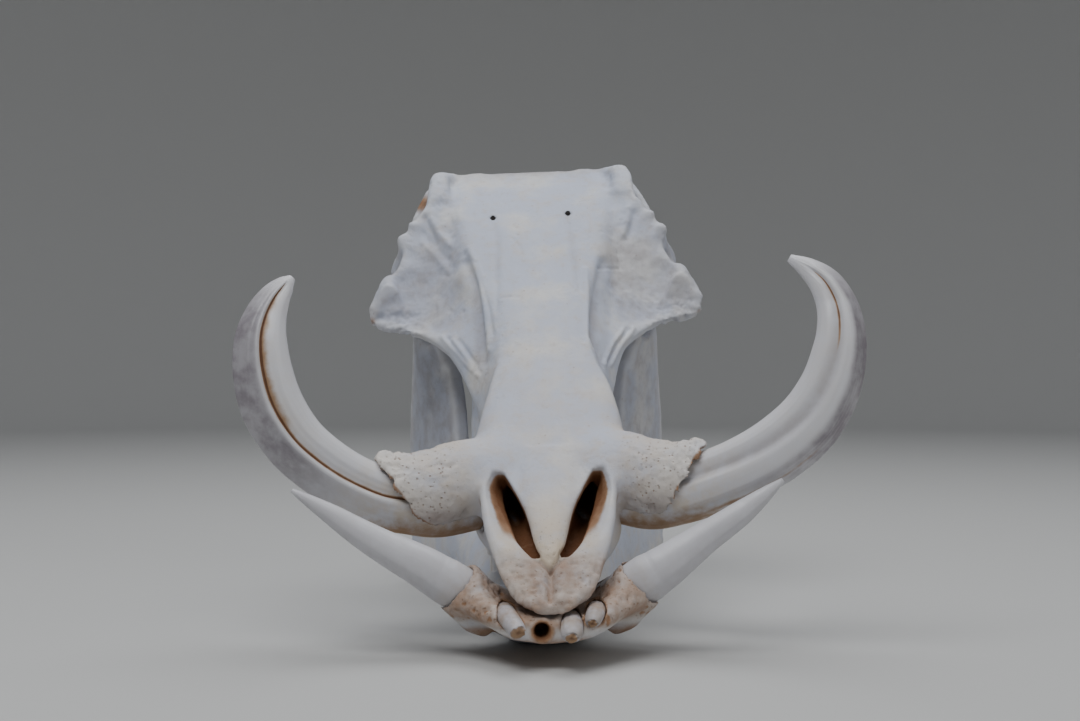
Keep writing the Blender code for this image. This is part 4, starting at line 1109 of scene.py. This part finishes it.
def jawMasks(points, share, spec):
    # soft tubes and rings, and steps in x, y, z and in the share of bone, added or the largest taken
    x, y, z = points.T
    root = np.zeros(len(points))
    for word, sign in sides:
        axis = np.array(lowerTusks[word])[:4, :3] * (sign, 1, 1)
        root = np.maximum(root, ramp(farFrom(points, axis), 14.4, 12.9))
    teeth = np.zeros(len(points))
    for rows in frontTeeth.values():
        teeth = np.maximum(teeth, ramp(farFrom(points, np.array(rows)[:3, :3]), 8.2, 5.4))
    holeX, holeZ = spec["socketAt"]
    ring = np.hypot(x - holeX, z - holeZ)
    top = ramp(z, 17, 25) * ramp(y, 66, 46)
    angle = ramp(y, 262, 285) * ramp(z, 120, 40)
    at = {
        "root": root * ramp(share, 0.46, 0.56),
        "hole": ramp(ring, 6.0, 4.4) * ramp(y, 30, 22),
        "ringEdge": ramp(ring, 9, 5.5) * ramp(y, 12, 6),
        "teeth": teeth * top,
        "pits": pitted(points, spec["pits"]["large"]) * ramp(np.abs(x), 12, 26) * top,
        # the chin's underside, greyed and browned as painted shadow
        "under": ramp(z, 22, 12) * ramp(y, 75, 45),
        # the jaw's front top, greyed and browned: partly stain, partly painted shade under the snout
        "top": top,
        "deep": ramp(share, 0.52, 0.72),
        # the jaw's branches, greyed as painted shade, more where x is below zero
        "branch": ramp(z, 60, 115) * np.where(x < 0, 1.0, 0.75),
    }
    return {"stain": strongest(at, spec["stains"]), "grey": strongest(at, spec["greys"]),
            "warm": np.clip(0.9 * top + 0.35 * at["under"] + 0.25 * ramp(z, 60, 10), 0, 1),
            "pore": np.clip(top + 0.4 * at["under"] + 0.3 * angle, 0, 1),
            "dark": 0.45 * at["hole"], "edge": ramp(share, 0.4, 0.25)}


# Paint

class Wire:
    # a node's output; sums, differences and products of wires become Math nodes
    def __init__(self, paint, socket):
        self.paint = paint
        self.socket = socket

    def math(self, kind, a, b=0.0):
        return self.paint.node("ShaderNodeMath", {"operation": kind}, {0: a, 1: b})

    def __add__(self, other):
        return self.math('ADD', self, other)

    def __radd__(self, other):
        return self.math('ADD', other, self)

    def __sub__(self, other):
        return self.math('SUBTRACT', self, other)

    def __rsub__(self, other):
        return self.math('SUBTRACT', other, self)

    def __mul__(self, other):
        return self.math('MULTIPLY', self, other)

    def __rmul__(self, other):
        return self.math('MULTIPLY', other, self)


class Paint:
    # one material and its nodes
    def __init__(self, name, roughness, coat=0.0):
        self.material = bpy.data.materials.new(name)
        self.material.use_nodes = True
        self.tree = self.material.node_tree
        self.shader = self.tree.nodes["Principled BSDF"]
        self.shader.inputs["Roughness"].default_value = roughness
        self.shader.inputs["Coat Weight"].default_value = coat
        self.shader.inputs["Coat Roughness"].default_value = 0.35
        self.where = self.node("ShaderNodeTexCoord", {}, {}, "Object")

    def node(self, kind, settings, values, output=0):
        # settings first, then each socket's value or link
        node = self.tree.nodes.new(kind)
        for key, value in settings.items():
            setattr(node, key, value)
        for key, value in values.items():
            if isinstance(value, Wire):
                self.tree.links.new(value.socket, node.inputs[key])
            else:
                node.inputs[key].default_value = value
        return Wire(self, node.outputs[output])

    def mask(self, key):
        return self.node("ShaderNodeAttribute", {"attribute_name": key}, {}, "Fac")

    def noise(self, size, detail=4.0, rough=0.55):
        # size in metres
        values = {"Vector": self.where, "Scale": 1 / size, "Detail": detail, "Roughness": rough}
        return self.node("ShaderNodeTexNoise", {}, values, "Fac")

    def cells(self, size):
        # distance to the nearest of scattered points, size metres apart
        return self.node("ShaderNodeTexVoronoi", {}, {"Vector": self.where, "Scale": 1 / size}, "Distance")

    def step(self, value, low, high):
        # 0 below low, 1 above high
        return self.node("ShaderNodeMapRange", {"interpolation_type": 'SMOOTHSTEP'},
                         {"Value": value, "From Min": low, "From Max": high}, "Result")

    def mix(self, factor, first, second):
        # sockets 6 and 7 are the two colours, and output 2 is the mixed one
        return self.node("ShaderNodeMix", {"data_type": 'RGBA'}, {0: factor, 6: first, 7: second}, 2)

    def bump(self, height, strength, distance, under=None):
        values = {"Height": height, "Strength": strength, "Distance": distance}
        if under is not None:
            values["Normal"] = under
        return self.node("ShaderNodeBump", {}, values, "Normal")

    def feed(self, name, wire):
        self.tree.links.new(wire.socket, self.shader.inputs[name])


boneColours = {
    "cool": (0.545, 0.585, 0.69, 1),
    "pale": (0.70, 0.695, 0.69, 1),
    "grey": (0.46, 0.45, 0.47, 1),
    "shadeLilac": (0.31, 0.30, 0.335, 1),
    "cream": (0.66, 0.555, 0.43, 1),
    "tan": (0.34, 0.195, 0.11, 1),
    "brown": (0.17, 0.065, 0.022, 1),
    "black": (0.012, 0.008, 0.006, 1),
}
ivoryColours = {
    "white": (0.685, 0.685, 0.72, 1),
    "cream": (0.66, 0.56, 0.42, 1),
    "violet": (0.185, 0.16, 0.185, 1),
    "tan": (0.36, 0.22, 0.12, 1),
    "brown": (0.13, 0.05, 0.018, 1),
}


def bonePaint(colours):
    # cool to pale bone in clouds, then cream, grey, lilac painted shade, brown from stains and from painted
    # shade, pores, freckles and the holes painted black as shade
    p = Paint("weatheredBone", 0.72)
    stain, warm, pore = p.mask("stain"), p.mask("warm"), p.mask("pore")
    dark, edge, grey = p.mask("dark"), p.mask("edge"), p.mask("grey")
    broad = p.noise(0.035, 4)
    patch = p.noise(0.012, 5, 0.6)
    fine = p.noise(0.0022, 5, 0.65)
    grain = p.noise(0.0009, 3, 0.7)
    pits = p.step(p.cells(0.0025), 0.32, 0.10) * p.step(fine, 0.42, 0.58)
    freckles = p.step(p.cells(0.0065), 0.13, 0.05) * p.step(patch, 0.45, 0.6)
    colour = p.mix(p.step(broad, 0.44, 0.70), colours["cool"], colours["pale"])
    colour = p.mix(p.step(patch, 0.45, 0.75) * 0.30, colour, colours["cream"])
    colour = p.mix(p.step(p.noise(0.006, 6, 0.7), 0.52, 0.72) * 0.35, colour, colours["grey"])
    colour = p.mix(warm * p.step(patch + broad, 0.45, 1.1), colour, colours["cream"])
    # lilac by the grey mask: painted shade on the wings, the back, below the nasal point, under the tusk
    # sleeves, in hollows, and on the jaw's branches, front and underside
    colour = p.mix(grey * (0.35 + p.step(patch, 0.3, 0.7) * 0.4), colour, colours["shadeLilac"])
    colour = p.mix(edge * 0.35, colour, colours["pale"])
    # the stain mask holds real stains and painted shade alike
    soak = stain * 1.15 + (patch - 0.5) * 0.55 * p.step(stain, 0.02, 0.3)
    colour = p.mix(p.step(soak, 0.10, 0.55), colour, colours["tan"])
    colour = p.mix(p.step(soak, 0.45, 0.95), colour, colours["brown"])
    colour = p.mix(pits * pore * 0.65, colour, colours["tan"])
    colour = p.mix(freckles * 0.28, colour, colours["brown"])
    # black painted shade in the brow holes, and a little darkening at the wing tips
    colour = p.mix(p.step(dark, 0.4, 0.8), colour, colours["black"])
    p.feed("Base Color", colour)
    p.feed("Roughness", 0.78 - p.step(fine, 0.3, 0.7) * 0.14 + stain * 0.08)
    rough = p.bump(fine * 0.6 + grain * 0.4, 0.45, 0.0008)
    rough = p.bump(patch, 0.45, 0.0016, rough)
    rough = p.bump(1.0 - pits * pore, 0.8, 0.0008, rough)
    p.feed("Normal", rough)
    return p.material


def ivoryPaint(colours):
    # white warmed to cream, violet grey on worn faces and undersides by the shade mask, painted shade on
    # the tusks and an even grey tone on the small teeth, tan to brown in furrows, and a clean tip
    p = Paint("agedIvory", 0.38, 0.15)
    stain, warm, shade, tip = [p.mask(key) for key in ("stain", "warm", "shade", "tip")]
    broad = p.noise(0.03, 4)
    patch = p.noise(0.009, 5, 0.6)
    fine = p.noise(0.0016, 5, 0.65)
    colour = p.mix(warm * p.step(patch, 0.3, 0.7) * 0.85, colours["white"], colours["cream"])
    colour = p.mix(shade * (0.55 + p.step(broad + patch, 0.7, 1.2) * 0.35), colour, colours["violet"])
    soak = stain + (patch - 0.5) * 0.5 * p.step(stain, 0.05, 0.4)
    colour = p.mix(p.step(soak, 0.22, 0.62), colour, colours["tan"])
    colour = p.mix(p.step(soak, 0.62, 0.95), colour, colours["brown"])
    colour = p.mix(tip * 0.5, colour, colours["white"])
    p.feed("Base Color", colour)
    p.feed("Roughness", 0.36 + p.step(patch, 0.35, 0.7) * 0.16 + stain * 0.25)
    p.feed("Normal", p.bump(patch * 0.5 + fine * 0.5, 0.22, 0.0006))
    return p.material


bone = bonePaint(boneColours)
ivory = ivoryPaint(ivoryColours)


# Building

upperSockets = [socketShell(upperTusks, word, side) for word, side in sides]
lowerSockets = [socketShell(lowerTusks, word, side) for word, side in sides]
for rows in frontTeeth.values():
    lowerSockets.append(tubeShell([(x, y, z, w + 0.4, w * 0.85 + 0.4) for x, y, z, w in rows[:3]], 28, 30))
makeCranium(cranium, upperSockets)
makeJaw(jaw, lowerSockets)
for word, side in sides:
    makeUpperTusk(word, side, upperTusks)
    makeLowerTusk(word, side, lowerTusks)
for node, rows in frontTeeth.items():
    makeFrontTooth(node, rows)
for word, side in sides:
    for node, x, *shape in cheekTeeth["upper"]:
        makeMolar(node + "_" + word, x * side, *shape, cheekTeeth["gap"] / 2, cheekTeeth["upperRoot"],
                  0.0, onCranium, cheekTeeth)
    for node, x, *shape in cheekTeeth["lower"]:
        makeMolar(node + "_" + word, x * side, *shape, -cheekTeeth["gap"] / 2, cheekTeeth["lowerRoot"],
                  cheekTeeth["lowerTurn"] * side, onJaw, cheekTeeth)


# Stage, light and camera

stage = {
    "floorColour": (0.54, 0.54, 0.53, 1),
    "floorReach": 2.6,                  # metres to where the floor begins to rise
    "floorTop": 3.2,                    # how high it rises
    "skyColour": (0.90, 0.93, 1.0, 1),
    "skyStrength": 0.21,
    "camera": (0.0, -730.0, 160.0),     # in the layout's millimetres, looking straight back
    "lens": 47.33,
}
# each soft panel: place, what it faces, size, watts, colour
panels = {
    "keyPanel": ((-0.5, -0.9, 1.8), (0, 0, 0.15), (1.3, 0.9), 20, (0.98, 0.99, 1.0)),
    "fillPanel": ((1.5, -1.1, 0.9), (0, 0, 0.15), (1.2, 1.2), 5, (1.0, 0.99, 0.97)),
    "topPanel": ((0.2, 0.35, 2.0), (0, 0, 0.1), (1.6, 1.2), 18, (0.95, 0.97, 1.0)),
}


def makeFloor(spec):
    # turned about z: flat out to the reach, a quarter circle of one metre, then straight up
    reach, around = spec["floorReach"], 96
    bend = np.linspace(0, np.pi / 2, 24)[1:]
    r = np.concatenate([np.linspace(0.02, reach, 30), reach + np.sin(bend), [reach + 1] * 6])
    z = np.concatenate([np.zeros(30), 1 - np.cos(bend), np.linspace(1.2, spec["floorTop"], 6)])
    a = np.linspace(0, 2 * np.pi, around, endpoint=False)
    grid = np.stack([r[:, None] * np.cos(a), r[:, None] * np.sin(a), z[:, None] + 0 * a], -1)
    i = np.arange(grid.shape[0] * around).reshape(-1, around)
    j = np.roll(i, -1, 1)
    quads = np.stack([i[:-1], i[1:], j[1:], j[:-1]], -1).reshape(-1, 4)
    tris = np.stack([np.full(around, i.size), i[0], j[0]], -1)
    points = np.concatenate([grid.reshape(-1, 3), [(0, 0, 0)]])
    floor = makePiece("studioFloor", points, quads.tolist() + tris.tolist())
    paint = Paint("floorPaint", 0.9)
    paint.shader.inputs["Base Color"].default_value = spec["floorColour"]
    floor.data.materials.append(paint.material)


def softLight(name, place, target, size, power, colour):
    data = bpy.data.lights.new(name, 'AREA')
    data.shape = 'RECTANGLE'
    data.size, data.size_y = size
    data.energy = power
    data.color = colour
    lamp = bpy.data.objects.new(name, data)
    lamp.location = place
    lamp.rotation_euler = (Vector(target) - Vector(place)).to_track_quat('-Z', 'Y').to_euler()
    bpy.context.scene.collection.objects.link(lamp)


def photoCamera(spec):
    data = bpy.data.cameras.new("photoCamera")
    data.lens = spec["lens"]
    data.sensor_width = 36
    camera = bpy.data.objects.new("photoCamera", data)
    camera.location = [(c - o) * 0.001 for c, o in zip(spec["camera"], layout["origin"])]
    camera.rotation_euler = (math.pi / 2, 0, 0)
    bpy.context.scene.collection.objects.link(camera)
    return camera


makeFloor(stage)
for name, panel in panels.items():
    softLight(name, *panel)
world = bpy.data.worlds.new("studioWorld")
bpy.context.scene.world = world
world.use_nodes = True
sky = world.node_tree.nodes["Background"]
sky.inputs["Color"].default_value = stage["skyColour"]
sky.inputs["Strength"].default_value = stage["skyStrength"]
bpy.context.scene.camera = photoCamera(stage)
report("stage set")
